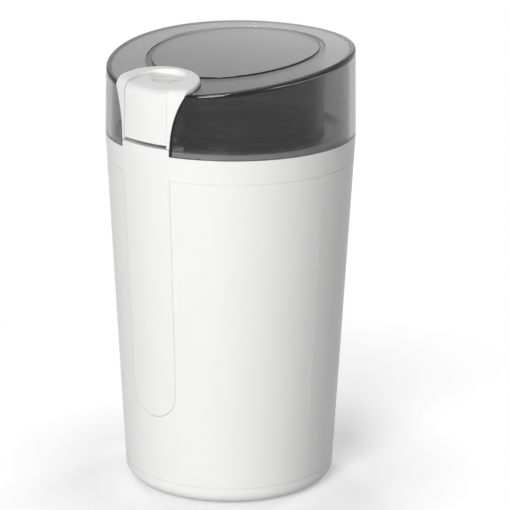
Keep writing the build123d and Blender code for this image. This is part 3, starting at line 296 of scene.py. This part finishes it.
world = bpy.data.worlds.new("studio")
world.use_nodes = True
bpy.context.scene.world = world
sky = Tree(world.node_tree)
level = seen_directly(sky) * (1.0 - AMBIENT) + AMBIENT
ground = sky.node("ShaderNodeBackground", {}, {"Color": grey(1.0), "Strength": level})
sky.node("ShaderNodeOutputWorld", {}, {"Surface": ground["Background"]})

AIM = Vector((0.0, 0.0, 0.08))
LAMPS = {                # turn and height in degrees, distance and size in metres, watts, mirrored
    "key_lamp": (20.0, 20.0, 2.6, (1.0, 2.2), 68.0, True),
    "top_lamp": (40.0, 78.0, 2.4, (2.0, 2.0), 2.0, True),
    "rim_lamp": (178.0, 24.0, 2.6, (2.0, 1.0), 3.0, True),
    "left_wing": (158.0, 18.0, 2.6, (0.8, 1.4), 22.0, False),
    "right_wing": (-136.0, 20.0, 2.6, (0.8, 1.4), 20.0, False),
}


def softbox(name, turn, height, distance, size, power, mirrored):
    """A rectangular lamp that looks at the grinder. turn counts from the camera, left positive."""
    lamp = bpy.data.lights.new(name, "AREA")
    lamp.shape = "RECTANGLE"
    lamp.size, lamp.size_y = size
    lamp.energy = power
    heading = math.atan2(EYE.y, EYE.x) - math.radians(turn)
    rise = math.radians(height)
    direction = Vector((math.cos(heading) * math.cos(rise), math.sin(heading) * math.cos(rise),
                        math.sin(rise)))
    holder = bpy.data.objects.new(name, lamp)
    bpy.context.scene.collection.objects.link(holder)
    holder.location = AIM + direction * distance
    holder.rotation_euler = direction.to_track_quat("Z", "Y").to_euler()
    holder.visible_glossy = holder.visible_transmission = mirrored
    print(name, "gives", round(power / (math.pi * distance ** 2), 2), "W/m2 at the grinder")


for name, sizes in LAMPS.items():
    softbox(name, *sizes)

# %% Floor
FLOOR_HALF = 2.5
PAPER = 0.80             # how light the floor is to the camera, and below it to matt surfaces
DULL_PAPER = 0.55
PER_DECIMETRE, PER_HALF_METRE = 10.0, 2.0

corners = [(x * FLOOR_HALF, y * FLOOR_HALF, 0.0) for x, y in ((-1, -1), (1, -1), (1, 1), (-1, 1))]
floor_mesh = bpy.data.meshes.new("floor")
floor_mesh.from_pydata(corners, [], [(0, 1, 2, 3)])
floor = bpy.data.objects.new("floor", floor_mesh)
bpy.context.scene.collection.objects.link(floor)

paper = Finish("paper_floor")


def matt(level):
    return paper.node("ShaderNodeBsdfDiffuse", {}, {"Color": grey(level)})["BSDF"]


def glowing(strength):
    inputs = {"Color": grey(1.0), "Strength": strength}
    return paper.node("ShaderNodeEmission", {}, inputs)["Emission"]


radius = paper.polar((0.0, 0.0, 0.0))[0]
# painted shadow: the glow is lower near the foot, darkest about 55 mm out, so a darker ring lies
# round it
glow_with_painted_shadow = paper.ramp(radius * PER_DECIMETRE, (0.36, 0.30), (0.55, 0.24), (1.0, 0.42))
shaded = paper.node("ShaderNodeAddShader", {}, {0: matt(PAPER), 1: glowing(glow_with_painted_shadow)})["Shader"]
far = paper.ramp(radius * PER_HALF_METRE, (0.12, 0.0), (0.40, 1.0))
bright = paper.blend(far, shaded, glowing(1.0))
surface = paper.blend(seen_directly(paper), matt(DULL_PAPER), bright)
floor_mesh.materials.append(paper.output(surface))
print("floor is", 2 * FLOOR_HALF, "m wide")

# %% [markdown]
# ## Moulded plastic
# Body, collar, base, button and its frame are one white plastic from polished moulds. It is close to
# smooth: slow waves where the walls shrank, a faint grain, and edges that fingers polish. The inner
# pieces came from plainer moulds and have a coarser, spark-cut grain. Both are one function with
# different sizes, because the difference between them is only scale and gloss.

# %% Moulded plastics
def moulded(name, colour, roughness, grain=0.0006, depth=4e-6, mottle=0.04, worn=0.06, gloss=0.5):
    finish = Finish(name)
    place = finish.place()
    clouds = finish.noise(place, 0.022, 3.0)
    waves = finish.noise(place, 0.009, 1.0)
    pores = finish.noise(place, grain, 4.0)
    edge = finish.edge()
    tone = finish.tones(clouds, colour, 1.0 - mottle, 1.0 + mottle / 2)
    rubbed = finish.mix(edge * worn * 4.0, tone, shade(colour, 1.0 + worn))
    rough = roughness + (clouds - 0.5) * 0.08 + (pores - 0.5) * 0.06 - edge * 0.06
    normal = finish.bump(pores, depth, over=finish.bump(waves, 3e-6))
    return finish.output(finish.shader(rubbed, rough, normal, IOR=1.49, Specular_IOR_Level=gloss))


add_finishes(moulded, {
    "white_plastic": dict(colour=(0.82, 0.82, 0.815), roughness=0.36, mottle=0.015, gloss=0.3),
    "grey_plastic": dict(colour=(0.30, 0.30, 0.29), roughness=0.55, grain=0.0004, depth=1.2e-5),
    "black_plastic": dict(colour=(0.022, 0.022, 0.023), roughness=0.5, grain=0.0005, depth=1.2e-5,
                          worn=1.2),
    "blue_plastic": dict(colour=(0.05, 0.13, 0.42), roughness=0.32, grain=0.0003, depth=5e-6),
    "green_plastic": dict(colour=(0.05, 0.30, 0.13), roughness=0.42, grain=0.0004, depth=8e-6),
    "red_plastic": dict(colour=(0.52, 0.035, 0.03), roughness=0.38, grain=0.0003, depth=6e-6),
})

# %% [markdown]
# ## The smoke-tinted lid
# The lid is a clear plastic with a grey dye, about 2 mm thick. Real thickness is there in the mesh,
# so a Principled shader with full transmission bends and darkens what is behind it, once at each
# face. Rays from lamps can't be bent towards a surface inside, which would leave the chamber black,
# so for those rays alone the wall is a plain tinted film.

# %% Tinted plastic
def tinted(name, smoke):
    """smoke is the share of light that one wall lets through."""
    finish = Finish(name)
    place = finish.place()
    clouds = finish.noise(place, 0.02, 2.0)
    hairlines = finish.noise(finish.place(scale=(1.0, 1.0, 0.12)), 0.0009, 3.0)
    rough = 0.012 + clouds * 0.012 + hairlines * 0.016
    tone = finish.tones(clouds, grey(smoke), 0.985, 1.015)
    normal = finish.bump(finish.noise(place, 0.012, 1.0), 2.5e-6)
    solid = finish.shader(tone, rough, normal, IOR=1.49, Transmission_Weight=1.0)
    film = finish.node("ShaderNodeBsdfTransparent", {}, {"Color": grey(math.sqrt(smoke))})["BSDF"]
    lamps = finish.node("ShaderNodeLightPath")["Is Shadow Ray"]
    return finish.output(finish.blend(lamps, solid, film))


add_finishes(tinted, {"tinted_plastic": dict(smoke=0.36)})

# %% [markdown]
# ## Turned, brushed and ground metal
# The bowl is spun from stainless sheet and brushed while it turns, so its lines run round the axis.
# Shaft and bushes are turned and show the same rings, only finer. A Wave texture would give lines as
# even as a record's, so the rings come from a noise that runs fast along the radius and the height,
# and slowly round the axis. Flat pieces such as the blade are ground in one direction instead.

# %% Ring-marked and straight-ground metals
SPINDLE = (0.0, -0.0024, 0.0)     # brings the motor's axis to the middle


def turned(name, colour, roughness, spacing=0.0003, depth=6e-6):
    finish = Finish(name)
    radius, across, along, height = finish.polar(SPINDLE)
    inputs = {"X": across * 1.5, "Y": along * 1.5, "Z": (radius + height) * (1.0 / spacing)}
    rings_at = finish.node("ShaderNodeCombineXYZ", {}, inputs)["Vector"]
    rings = finish.noise(rings_at, 1.0, 3.0)
    clouds = finish.noise(finish.place(), 0.012, 3.0)
    edge = finish.edge(0.0003)
    tone = finish.tones(rings, colour, 0.88, 1.06)
    rubbed = finish.mix(edge * 0.4, tone, shade(colour, 1.15))
    rough = roughness + (rings - 0.5) * 0.16 + (clouds - 0.5) * 0.10
    return finish.output(finish.shader(rubbed, rough, finish.bump(rings, depth), Metallic=1.0))


def ground(name, colour, roughness, spacing=0.00025, depth=5e-6):
    finish = Finish(name)
    lines = finish.noise(finish.place(scale=(1.0, 0.04, 1.0)), spacing, 3.0)
    clouds = finish.noise(finish.place(), 0.006, 3.0)
    edge = finish.edge(0.0003)
    tone = finish.tones(lines, colour, 0.88, 1.06)
    rubbed = finish.mix(edge * 0.4, tone, shade(colour, 1.2))
    rough = roughness + (lines - 0.5) * 0.18 + (clouds - 0.5) * 0.08
    return finish.output(finish.shader(rubbed, rough, finish.bump(lines, depth), Metallic=1.0))


add_finishes(turned, {
    "bowl_steel": dict(colour=(0.56, 0.55, 0.54), roughness=0.26),
    "shaft_steel": dict(colour=(0.56, 0.56, 0.57), roughness=0.22, spacing=0.00016, depth=3e-6),
    "brass": dict(colour=(0.78, 0.55, 0.25), roughness=0.28, spacing=0.00025, depth=3e-6),
})
add_finishes(ground, {
    "blade_steel": dict(colour=(0.60, 0.60, 0.61), roughness=0.28),
    "spring_steel": dict(colour=(0.50, 0.50, 0.52), roughness=0.3, spacing=0.0002, depth=2e-6),
})

# %% [markdown]
# ## Rough and plated metal
# Zinc plating clouds into pale and bluish patches, die-cast metal has a fine orange skin, sintered
# bronze is full of oil-filled pores, and the motor's core is a stack of thin varnished sheets whose
# edges show as lines. Each is one more rule for the same few masks.

# %% Plated, cast, sintered and stacked metals
def plated(name, colour, tinge):
    finish = Finish(name)
    place = finish.place()
    patches = finish.ramp(finish.noise(place, 0.0022, 4.0), (0.40, 0.0), (0.62, 1.0))
    grain = finish.noise(place, 0.00025, 2.0)
    edge = finish.edge(0.0003)
    tone = finish.mix(patches, colour, tinge)
    rubbed = finish.mix(edge * 0.5, tone, shade(colour, 1.2))
    rough = 0.30 + (grain - 0.5) * 0.2 + (1.0 - edge) * 0.06
    return finish.output(finish.shader(rubbed, rough, finish.bump(grain, 5e-6), Metallic=1.0))


def pitted(name, colour, roughness, pit, depth, metallic=1.0, low=0.36, high=0.50):
    finish = Finish(name)
    place = finish.place()
    pits = finish.ramp(finish.noise(place, pit, 3.0), (low, 0.0), (high, 1.0))
    clouds = finish.noise(place, 0.006, 3.0)
    edge = finish.edge(0.0004)
    tone = finish.tones(pits, colour, 0.55, 1.0)
    cloudy = finish.mix(clouds * 0.25, tone, shade(colour, 0.82))
    rubbed = finish.mix(edge * 0.4, cloudy, shade(colour, 1.25))
    rough = roughness + (1.0 - pits) * 0.15 + (clouds - 0.5) * 0.1
    return finish.output(finish.shader(rubbed, rough, finish.bump(pits, depth), Metallic=metallic))


def stacked(name, colour, sheet):
    finish = Finish(name)
    place = finish.place()
    height = finish.axes(place)["Z"]
    phase = finish.maths("PINGPONG", height * (1.0 / sheet), 1.0)
    seam = finish.ramp(phase, (0.80, 0.0), (0.97, 1.0))
    varnish = finish.noise(place, 0.004, 3.0)
    edge = finish.edge(0.0003)
    tone = finish.tones(varnish, colour, 0.85, 1.0)
    lined = finish.mix(seam * 0.7, tone, (0.05, 0.035, 0.03, 1.0))
    rubbed = finish.mix(edge * 0.4, lined, (0.45, 0.45, 0.46, 1.0))
    rough = 0.38 + varnish * 0.12 + seam * 0.2
    return finish.output(finish.shader(rubbed, rough, finish.bump(1.0 - seam, 2e-5), Metallic=0.8))


add_finishes(plated, {
    "zinc_steel": dict(colour=(0.62, 0.64, 0.66, 1.0), tinge=(0.50, 0.54, 0.62, 1.0)),
})
add_finishes(pitted, {
    "cast_aluminium": dict(colour=(0.60, 0.60, 0.60), roughness=0.42, pit=0.0005, depth=2e-5),
    "bush_bronze": dict(colour=(0.52, 0.36, 0.18), roughness=0.38, pit=0.00025, depth=1e-5),
})
add_finishes(stacked, {"core_steel": dict(colour=(0.30, 0.27, 0.25), sheet=0.0005)})

# %% [markdown]
# ## Rubber, carbon, ceramic and laminate
# These show no gloss to speak of. Rubber has a skin with fine dust in its pores, carbon brushes are
# pressed powder, the fuse sits in a glazed sleeve, and the board is phenolic sheet with its fibres
# lying one way. The pitted rule serves again with no metal in it.

# %% Dull finishes
def dusty(name, colour, roughness, grain, depth, dust=0.25):
    finish = Finish(name)
    place = finish.place()
    skin = finish.noise(place, grain, 4.0)
    settled = finish.ramp(finish.noise(place, 0.004, 4.0), (0.45, 0.0), (0.75, 1.0))
    edge = finish.edge(0.0005)
    tone = finish.tones(skin, colour, 0.8, 1.15)
    dull = finish.mix(settled * dust, tone, shade(colour, 2.2))
    rubbed = finish.mix(edge * 0.5, dull, shade(colour, 1.8))
    rough = roughness + (skin - 0.5) * 0.2 + settled * 0.1
    return finish.output(finish.shader(rubbed, rough, finish.bump(skin, depth), IOR=1.45))


def fibrous(name, colour):
    finish = Finish(name)
    fibres = finish.noise(finish.place(scale=(0.08, 1.0, 1.0)), 0.0005, 4.0)
    clouds = finish.noise(finish.place(), 0.008, 3.0)
    edge = finish.edge(0.0004)
    tone = finish.tones(fibres, colour, 0.75, 1.15)
    cloudy = finish.mix(clouds * 0.3, tone, shade(colour, 0.8))
    rubbed = finish.mix(edge * 0.6, cloudy, shade(colour, 1.5))
    rough = 0.45 + (fibres - 0.5) * 0.25
    return finish.output(finish.shader(rubbed, rough, finish.bump(fibres, 8e-6), IOR=1.5))


add_finishes(dusty, {
    "black_rubber": dict(colour=(0.018, 0.018, 0.018), roughness=0.72, grain=0.0003, depth=1.5e-5),
    "lead_sleeve": dict(colour=(0.32, 0.33, 0.35), roughness=0.45, grain=0.0005, depth=5e-6,
                        dust=0.1),
})
add_finishes(pitted, {
    "carbon": dict(colour=(0.030, 0.030, 0.032), roughness=0.55, pit=0.0002, depth=8e-6,
                   metallic=0.0),
    "ferrite": dict(colour=(0.045, 0.045, 0.048), roughness=0.42, pit=0.0003, depth=6e-6,
                    metallic=0.0),
    "fuse_ceramic": dict(colour=(0.70, 0.66, 0.58), roughness=0.28, pit=0.0006, depth=5e-6,
                         metallic=0.0, low=0.28, high=0.36),
})
add_finishes(fibrous, {"board_laminate": dict(colour=(0.36, 0.20, 0.08))})

# %% [markdown]
# ## Wound copper
# The coils are bundles of enamelled wire. Each turn could be a swept curve, but hundreds of them
# hidden in the body would cost more faces than the whole outside. Here the wire is a rule in the
# finish: ridges as wide as the wire, a little uneven, with the colour darker in the gaps between
# them.

# %% Enamelled wire
def wound(name, wire):
    finish = Finish(name)
    place = finish.place()
    height = finish.axes(place)["Z"]
    sway = finish.noise(place, 0.004, 2.0)
    wave = finish.maths("SINE", (height + sway * wire) * (2 * math.pi / wire))
    ridge = finish.ramp(wave * 0.5 + 0.5, (0.0, 0.0), (0.55, 1.0))
    # the gaps between the ridges are coloured much darker than the ridges
    tone = finish.mix(ridge, (0.14, 0.035, 0.015, 1.0), (0.62, 0.24, 0.10, 1.0))
    varnished = finish.mix(sway * 0.4, tone, (0.42, 0.13, 0.05, 1.0))
    rough = 0.26 + (1.0 - ridge) * 0.25
    return finish.output(finish.shader(varnished, rough, finish.bump(ridge, 8e-5), Metallic=0.85))


add_finishes(wound, {"copper": dict(wire=0.0005)})

# %% [markdown]
# ## Each CAD piece gets its finish
# The record says which slot each piece takes. The CAD meshes carry smooth normals of their own, so
# assigning the material is all that is left to do.

# %% Assign the finishes
for name, piece in nodes.items():
    piece.data.materials.clear()
    piece.data.materials.append(finishes[slot_of[name]])

# %% [markdown]
# ## Screws from one rule
# Six groups of screws hold the grinder together. In CAD each is a head and a shank. Modelling the
# recess and the thread by hand for every size would be the same work again and again, and that is
# what Geometry Nodes are for: one tree with named sizes makes a pan-head screw with a cross recess
# and a thread, and sets it on every point that it is given. The sizes are read off the CAD screws,
# so the new ones fit their holes.

# %% Read the screws off the CAD mesh
SCREWS = ("base_screws", "frame_screws", "mount_screws", "board_screws", "clamp_screws",
          "switch_screws")
AT_RIM = 0.95            # what lies farther out than this share of the radius is the head's rim
OFF_HEAD = 0.9           # what lies nearer than this, at the tail, is the shank
TAIL_SHARE = 0.4         # of the whole length


def solids_of(name):
    """The separate solids of a node, each as its list of points."""
    mesh = nodes[name].data
    places = [tuple(round(c, 6) for c in vertex.co) for vertex in mesh.vertices]
    parent = {}

    def root(key):
        while parent.setdefault(key, key) != key:
            parent[key] = parent[parent[key]]
            key = parent[key]
        return key

    for face in mesh.polygons:
        first = root(places[face.vertices[0]])
        for index in face.vertices[1:]:
            parent[root(places[index])] = first
    groups = {}
    for place in parent:
        groups.setdefault(root(place), []).append(Vector(place))
    return [groups[key] for key in sorted(groups)]


def box_of(points):
    """The lowest and the highest x, y and z of the points."""
    columns = list(zip(*points))
    return [min(column) for column in columns], [max(column) for column in columns]


def read_screw(points):
    """Head and shank of one upright screw, in metres."""
    (left, front, low), (right, rear, high) = box_of(points)
    middle = Vector(((left + right) / 2, (front + rear) / 2))
    reach = [((point.xy - middle).length, point.z) for point in points]
    head_radius = max(distance for distance, z in reach)
    head_zs = [z for distance, z in reach if distance > AT_RIM * head_radius]
    head_up = high - max(head_zs) < min(head_zs) - low
    head_height = high - min(head_zs) if head_up else max(head_zs) - low
    top, tail = (high, low) if head_up else (low, high)
    shank_radius = max(distance for distance, z in reach if distance < OFF_HEAD * head_radius
                       and abs(z - tail) < (high - low) * TAIL_SHARE)
    return {"top": (middle.x, middle.y, top), "up": head_up, "Head radius": head_radius,
            "Head height": head_height, "Shank radius": shank_radius, "Length": high - low}


screw_sizes = {name: [read_screw(points) for points in solids_of(name)] for name in SCREWS}
for name, screws in screw_sizes.items():
    sizes = {key: round(value * 1000, 2) for key, value in screws[0].items() if key[0].isupper()}
    print(name, len(screws), "up" if screws[0]["up"] else "down", sizes)

# %% [markdown]
# A Geometry Nodes tree is filled by the same method as a shader, from the sizes that it is given.
# Each ends alike: the piece is set on every point, made real and given its finish.

# %% Trees that grow shapes
MERGED_WITHIN = 5e-6     # points nearer than this become one


class Growth(Tree):
    """A Geometry Nodes tree with named inputs."""

    def __init__(self, name, sizes):
        group = bpy.data.node_groups.new(name, "GeometryNodeTree")
        super().__init__(group)
        group.interface.new_socket("Geometry", in_out="INPUT", socket_type="NodeSocketGeometry")
        for label, value in sizes.items():
            made = group.interface.new_socket(label, in_out="INPUT", socket_type="NodeSocketFloat")
            made.default_value = value
        group.interface.new_socket("Finish", in_out="INPUT", socket_type="NodeSocketMaterial")
        group.interface.new_socket("Geometry", in_out="OUTPUT", socket_type="NodeSocketGeometry")
        self.given = self.node("NodeGroupInput")

    def shape(self, kind, settings=None, **inputs):
        """What a node makes, its first output. Inputs are named with underscores for spaces."""
        named = {key.replace("_", " "): value for key, value in inputs.items()}
        return next(iter(self.node("GeometryNode" + kind, settings, named).values()))

    def vector(self, x=0.0, y=0.0, z=0.0):
        return self.node("ShaderNodeCombineXYZ", {}, {"X": x, "Y": y, "Z": z})["Vector"]

    def raised(self, geometry, height):
        return self.shape("Transform", Geometry=geometry, Translation=self.vector(z=height))

    def joined(self, *parts):
        return self.shape("JoinGeometry", Geometry=list(parts))

    def merged(self, geometry):
        return self.shape("MergeByDistance", Geometry=geometry, Distance=MERGED_WITHIN)

    def boolean(self, operation, inputs):
        made = self.node("GeometryNodeMeshBoolean", {"operation": operation}, inputs)
        return self.merged(made["Mesh"])

    def cone(self, fill, facets, top, bottom, depth):
        return self.shape("MeshCone", {"fill_type": fill}, Vertices=facets, Radius_Top=top,
                          Radius_Bottom=bottom, Depth=depth)

    def disc(self, facets, radius):
        return self.shape("MeshCircle", {"fill_type": "NGON"}, Vertices=facets, Radius=radius)

    def spiral(self, steps, turns, radius, height):
        return self.shape("CurveSpiral", Resolution=steps, Rotations=turns, Start_Radius=radius,
                          End_Radius=radius, Height=height)

    def swept(self, line, facets, radius):
        """A section with so many facets along a line, closed at both ends."""
        section = self.shape("CurvePrimitiveCircle", {"mode": "RADIUS"}, Resolution=facets,
                             Radius=radius)
        return self.shape("CurveToMesh", Curve=line, Profile_Curve=section, Fill_Caps=True)

    def end(self, piece):
        placed = self.shape("InstanceOnPoints", Points=self.given["Geometry"], Instance=piece)
        whole = self.shape("RealizeInstances", Geometry=placed)
        coated = self.shape("SetMaterial", Geometry=whole, Material=self.given["Finish"])
        self.node("NodeGroupOutput", {}, {"Geometry": coated})


def inputs_of(group):
    """The identifier of each input of a node group, by its name."""
    return {s.name: s.identifier for s in group.interface.items_tree if s.in_out == "INPUT"}


print("a growth has", [name for name in vars(Growth) if not name.startswith("_")])

# %% [markdown]
# The screw's head is two hollow cones and two discs, merged into one closed skin.

# %% The screw's head
HEAD_FACETS = 40
RIM, DOME = 0.55, 0.45             # shares of the head's height
CROWN = 0.72                       # share of the head's radius that is flat on top

screw_rule = Growth("screw_rule", {"Head radius": 0.0026, "Head height": 0.0015,
                                   "Shank radius": 0.0013, "Length": 0.010, "Pitch": 0.0009})
size = screw_rule.given
crown_radius = size["Head radius"] * CROWN
rim = screw_rule.cone("NONE", HEAD_FACETS, size["Head radius"], size["Head radius"],
                      size["Head height"] * RIM)
dome = screw_rule.cone("NONE", HEAD_FACETS, crown_radius, size["Head radius"],
                       size["Head height"] * DOME)
crown = screw_rule.disc(HEAD_FACETS, crown_radius)
sole = screw_rule.shape("FlipFaces", Mesh=screw_rule.disc(HEAD_FACETS, size["Head radius"]))
blank = screw_rule.merged(screw_rule.joined(
    screw_rule.raised(rim, size["Head height"] * -1.0),
    screw_rule.raised(dome, size["Head height"] * -DOME),
    screw_rule.raised(sole, size["Head height"] * -1.0), crown))
print("screw inputs:", list(inputs_of(screw_rule.node_tree)))

# %% [markdown]
# The cross recess is cut with Mesh Boolean, after its two blocks are made one. One goes a little
# deeper than the other, because floors that lie in one plane leave doubled faces. The thread is a
# spiral with a three-cornered profile wound on a thinner core, so its crest is as wide as the CAD
# shank and the screw still fits.

# %% Cut the recess, wind the thread
SLOT_LENGTH, SLOT_WIDTH = 1.15, 0.26           # shares of the head's radius
SLOT_DEPTHS = (0.55, 0.60)                     # shares of the head's height
CORE, THREAD_LINE, RIDGE = 0.82, 0.84, 0.16    # shares of the shank's radius
CORE_FACETS, RIDGE_FACETS, THREAD_STEPS = 24, 3, 20


def slot(turn, depth):
    """A block across the head. It stands as far above the crown as it goes down."""
    box = screw_rule.vector(size["Head radius"] * SLOT_LENGTH, size["Head radius"] * SLOT_WIDTH,
                            size["Head height"] * depth * 2.0)
    block = screw_rule.shape("MeshCube", Size=box)
    return screw_rule.shape("Transform", Geometry=block, Rotation=(0, 0, turn))


slots = [slot(0.0, SLOT_DEPTHS[0]), slot(math.pi / 2, SLOT_DEPTHS[1])]
head = screw_rule.boolean("DIFFERENCE", {0: blank, 1: screw_rule.boolean("UNION", {1: slots})})

shank_length = size["Length"] - size["Head height"]
core_radius = size["Shank radius"] * CORE
core = screw_rule.cone("NGON", CORE_FACETS, core_radius, core_radius, shank_length)
core = screw_rule.raised(core, size["Length"] * -1.0)
climb = shank_length - size["Pitch"]
line = screw_rule.spiral(THREAD_STEPS, climb / size["Pitch"], size["Shank radius"] * THREAD_LINE,
                         climb)
thread = screw_rule.swept(line, RIDGE_FACETS, size["Shank radius"] * RIDGE)
thread = screw_rule.raised(thread, size["Pitch"] * 0.5 - size["Length"])
screw_rule.end(screw_rule.joined(head, core, thread))
print("screw tree has", len(screw_rule.node_tree.nodes), "nodes")

# %% [markdown]
# The tree runs as a modifier on a mesh of bare points, one for each screw, and what it makes is kept
# as a plain mesh. It always builds upright, so screws that point down are built on points turned
# the other way up, and the finished mesh is turned back.

# %% Set the screws
UPRIGHT = Matrix.Identity(4)
OVERTURNED = Matrix.Rotation(math.pi, 4, "X")
PITCH = 0.7              # of the shank's radius


def grown(name, places, rule, settings, turn):
    """Runs a tree on places, turned as asked, and returns the result as a plain mesh piece."""
    back = turn.inverted()
    seed = bpy.data.meshes.new(name + "_points")
    seed.from_pydata([back @ Vector(place) for place in places], [], [])
    holder = bpy.data.objects.new(name, seed)
    bpy.context.scene.collection.objects.link(holder)
    modifier = holder.modifiers.new("rule", "NODES")
    modifier.node_group = rule.node_tree
    identifiers = inputs_of(rule.node_tree)
    for label, value in settings.items():
        modifier[identifiers[label]] = value
    bpy.context.view_layer.update()
    result = holder.evaluated_get(bpy.context.evaluated_depsgraph_get())
    mesh = bpy.data.meshes.new_from_object(result)
    mesh.transform(turn)
    holder.modifiers.remove(modifier)
    holder.data = mesh
    mesh.name = name
    return holder


for name, screws in screw_sizes.items():
    sample = screws[0]
    settings = {key: value for key, value in sample.items() if key[0].isupper()}
    settings["Pitch"] = sample["Shank radius"] * PITCH
    settings["Finish"] = finishes["zinc_steel"]
    piece = grown(name + "_threaded", [screw["top"] for screw in screws], screw_rule, settings,
                  UPRIGHT if sample["up"] else OVERTURNED)
    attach(piece, body_of[name])
    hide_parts(name)
    print(piece.name, len(piece.data.polygons), "faces")

# %% [markdown]
# ## Springs wound by a rule
# The button is lifted by a coil spring, and two smaller ones push the carbon brushes in. Real ones
# have closed ends: the first and last turn lie flat on their neighbour, so that the spring stands
# straight. The Screw modifier climbs evenly, so the height is a formula here: one wire's width for
# each end turn, and the rest shared by the turns between. The tree lays a flat circle many times
# over, lifts every point by that formula and sweeps a round wire along it.

# %% The spring's node tree
COIL_STEPS, WIRE_FACETS = 28, 10

spring_rule = Growth("spring_rule", {"Coil radius": 0.0036, "Wire radius": 0.00035, "Turns": 6.0,
                                     "Height": 0.012})
coil = spring_rule.given
circles = spring_rule.spiral(COIL_STEPS, coil["Turns"], coil["Coil radius"], 0.0)
turn = spring_rule.node("GeometryNodeSplineParameter")["Factor"] * coil["Turns"]
wire = coil["Wire radius"] * 2.0
between = coil["Turns"] - 2.0
end_turns = turn.clamped() * wire + (turn - coil["Turns"] + 1.0).clamped() * wire
open_turns = ((turn - 1.0) / between).clamped() * (coil["Height"] - wire * 3.0)
rise = coil["Wire radius"] + end_turns + open_turns
line = spring_rule.shape("SetPosition", Geometry=circles, Offset=spring_rule.vector(z=rise))
spring_rule.end(spring_rule.swept(line, WIRE_FACETS, coil["Wire radius"]))
print("spring tree has", len(spring_rule.node_tree.nodes), "nodes")

# %% [markdown]
# Each spring stands between the same ends as the CAD solid that it replaces. The button's spring
# rides with the lid, and is given a mesh of its own.

# %% Set the springs
LYING = Matrix.Rotation(math.pi / 2, 4, "Y")       # brings upright to the right
BUTTON_TRAVEL = 0.0012


def set_springs(name, wire_radius, turns, way):
    """One spring for each solid of the node. way turns upright to the spring's own direction."""
    back = way.inverted()
    boxes = [box_of([back @ point for point in points]) for points in solids_of(name)]
    places = [way @ Vector(((low[0] + high[0]) / 2, (low[1] + high[1]) / 2, low[2]))
              for low, high in boxes]
    low, high = boxes[-1]
    settings = {"Coil radius": (high[0] - low[0]) / 2 - wire_radius, "Wire radius": wire_radius,
                "Turns": turns, "Height": high[2] - low[2], "Finish": finishes["spring_steel"]}
    piece = grown(name + "_wound", places, spring_rule, settings, way)
    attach(piece, body_of[name])
    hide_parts(name)
    print(piece.name, len(places), "x", round(settings["Height"] * 1000, 2), "mm,",
          len(piece.data.polygons), "faces")
    return piece, places[0], settings["Height"]


set_springs("brush_springs", wire_radius=0.00025, turns=5.0, way=LYING)
button_spring, seat, spring_height = set_springs("button_spring", wire_radius=0.00035, turns=6.0,
                                                 way=UPRIGHT)
(spring_height - BUTTON_TRAVEL) / spring_height
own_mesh(button_spring)

# %% [markdown]
# ## The last look
# The colours are shown as they are written, with the Standard view transform. The visual model
# has to stay inside the CAD model's box.

# %% Finish
bpy.context.scene.view_settings.view_transform = "Standard"
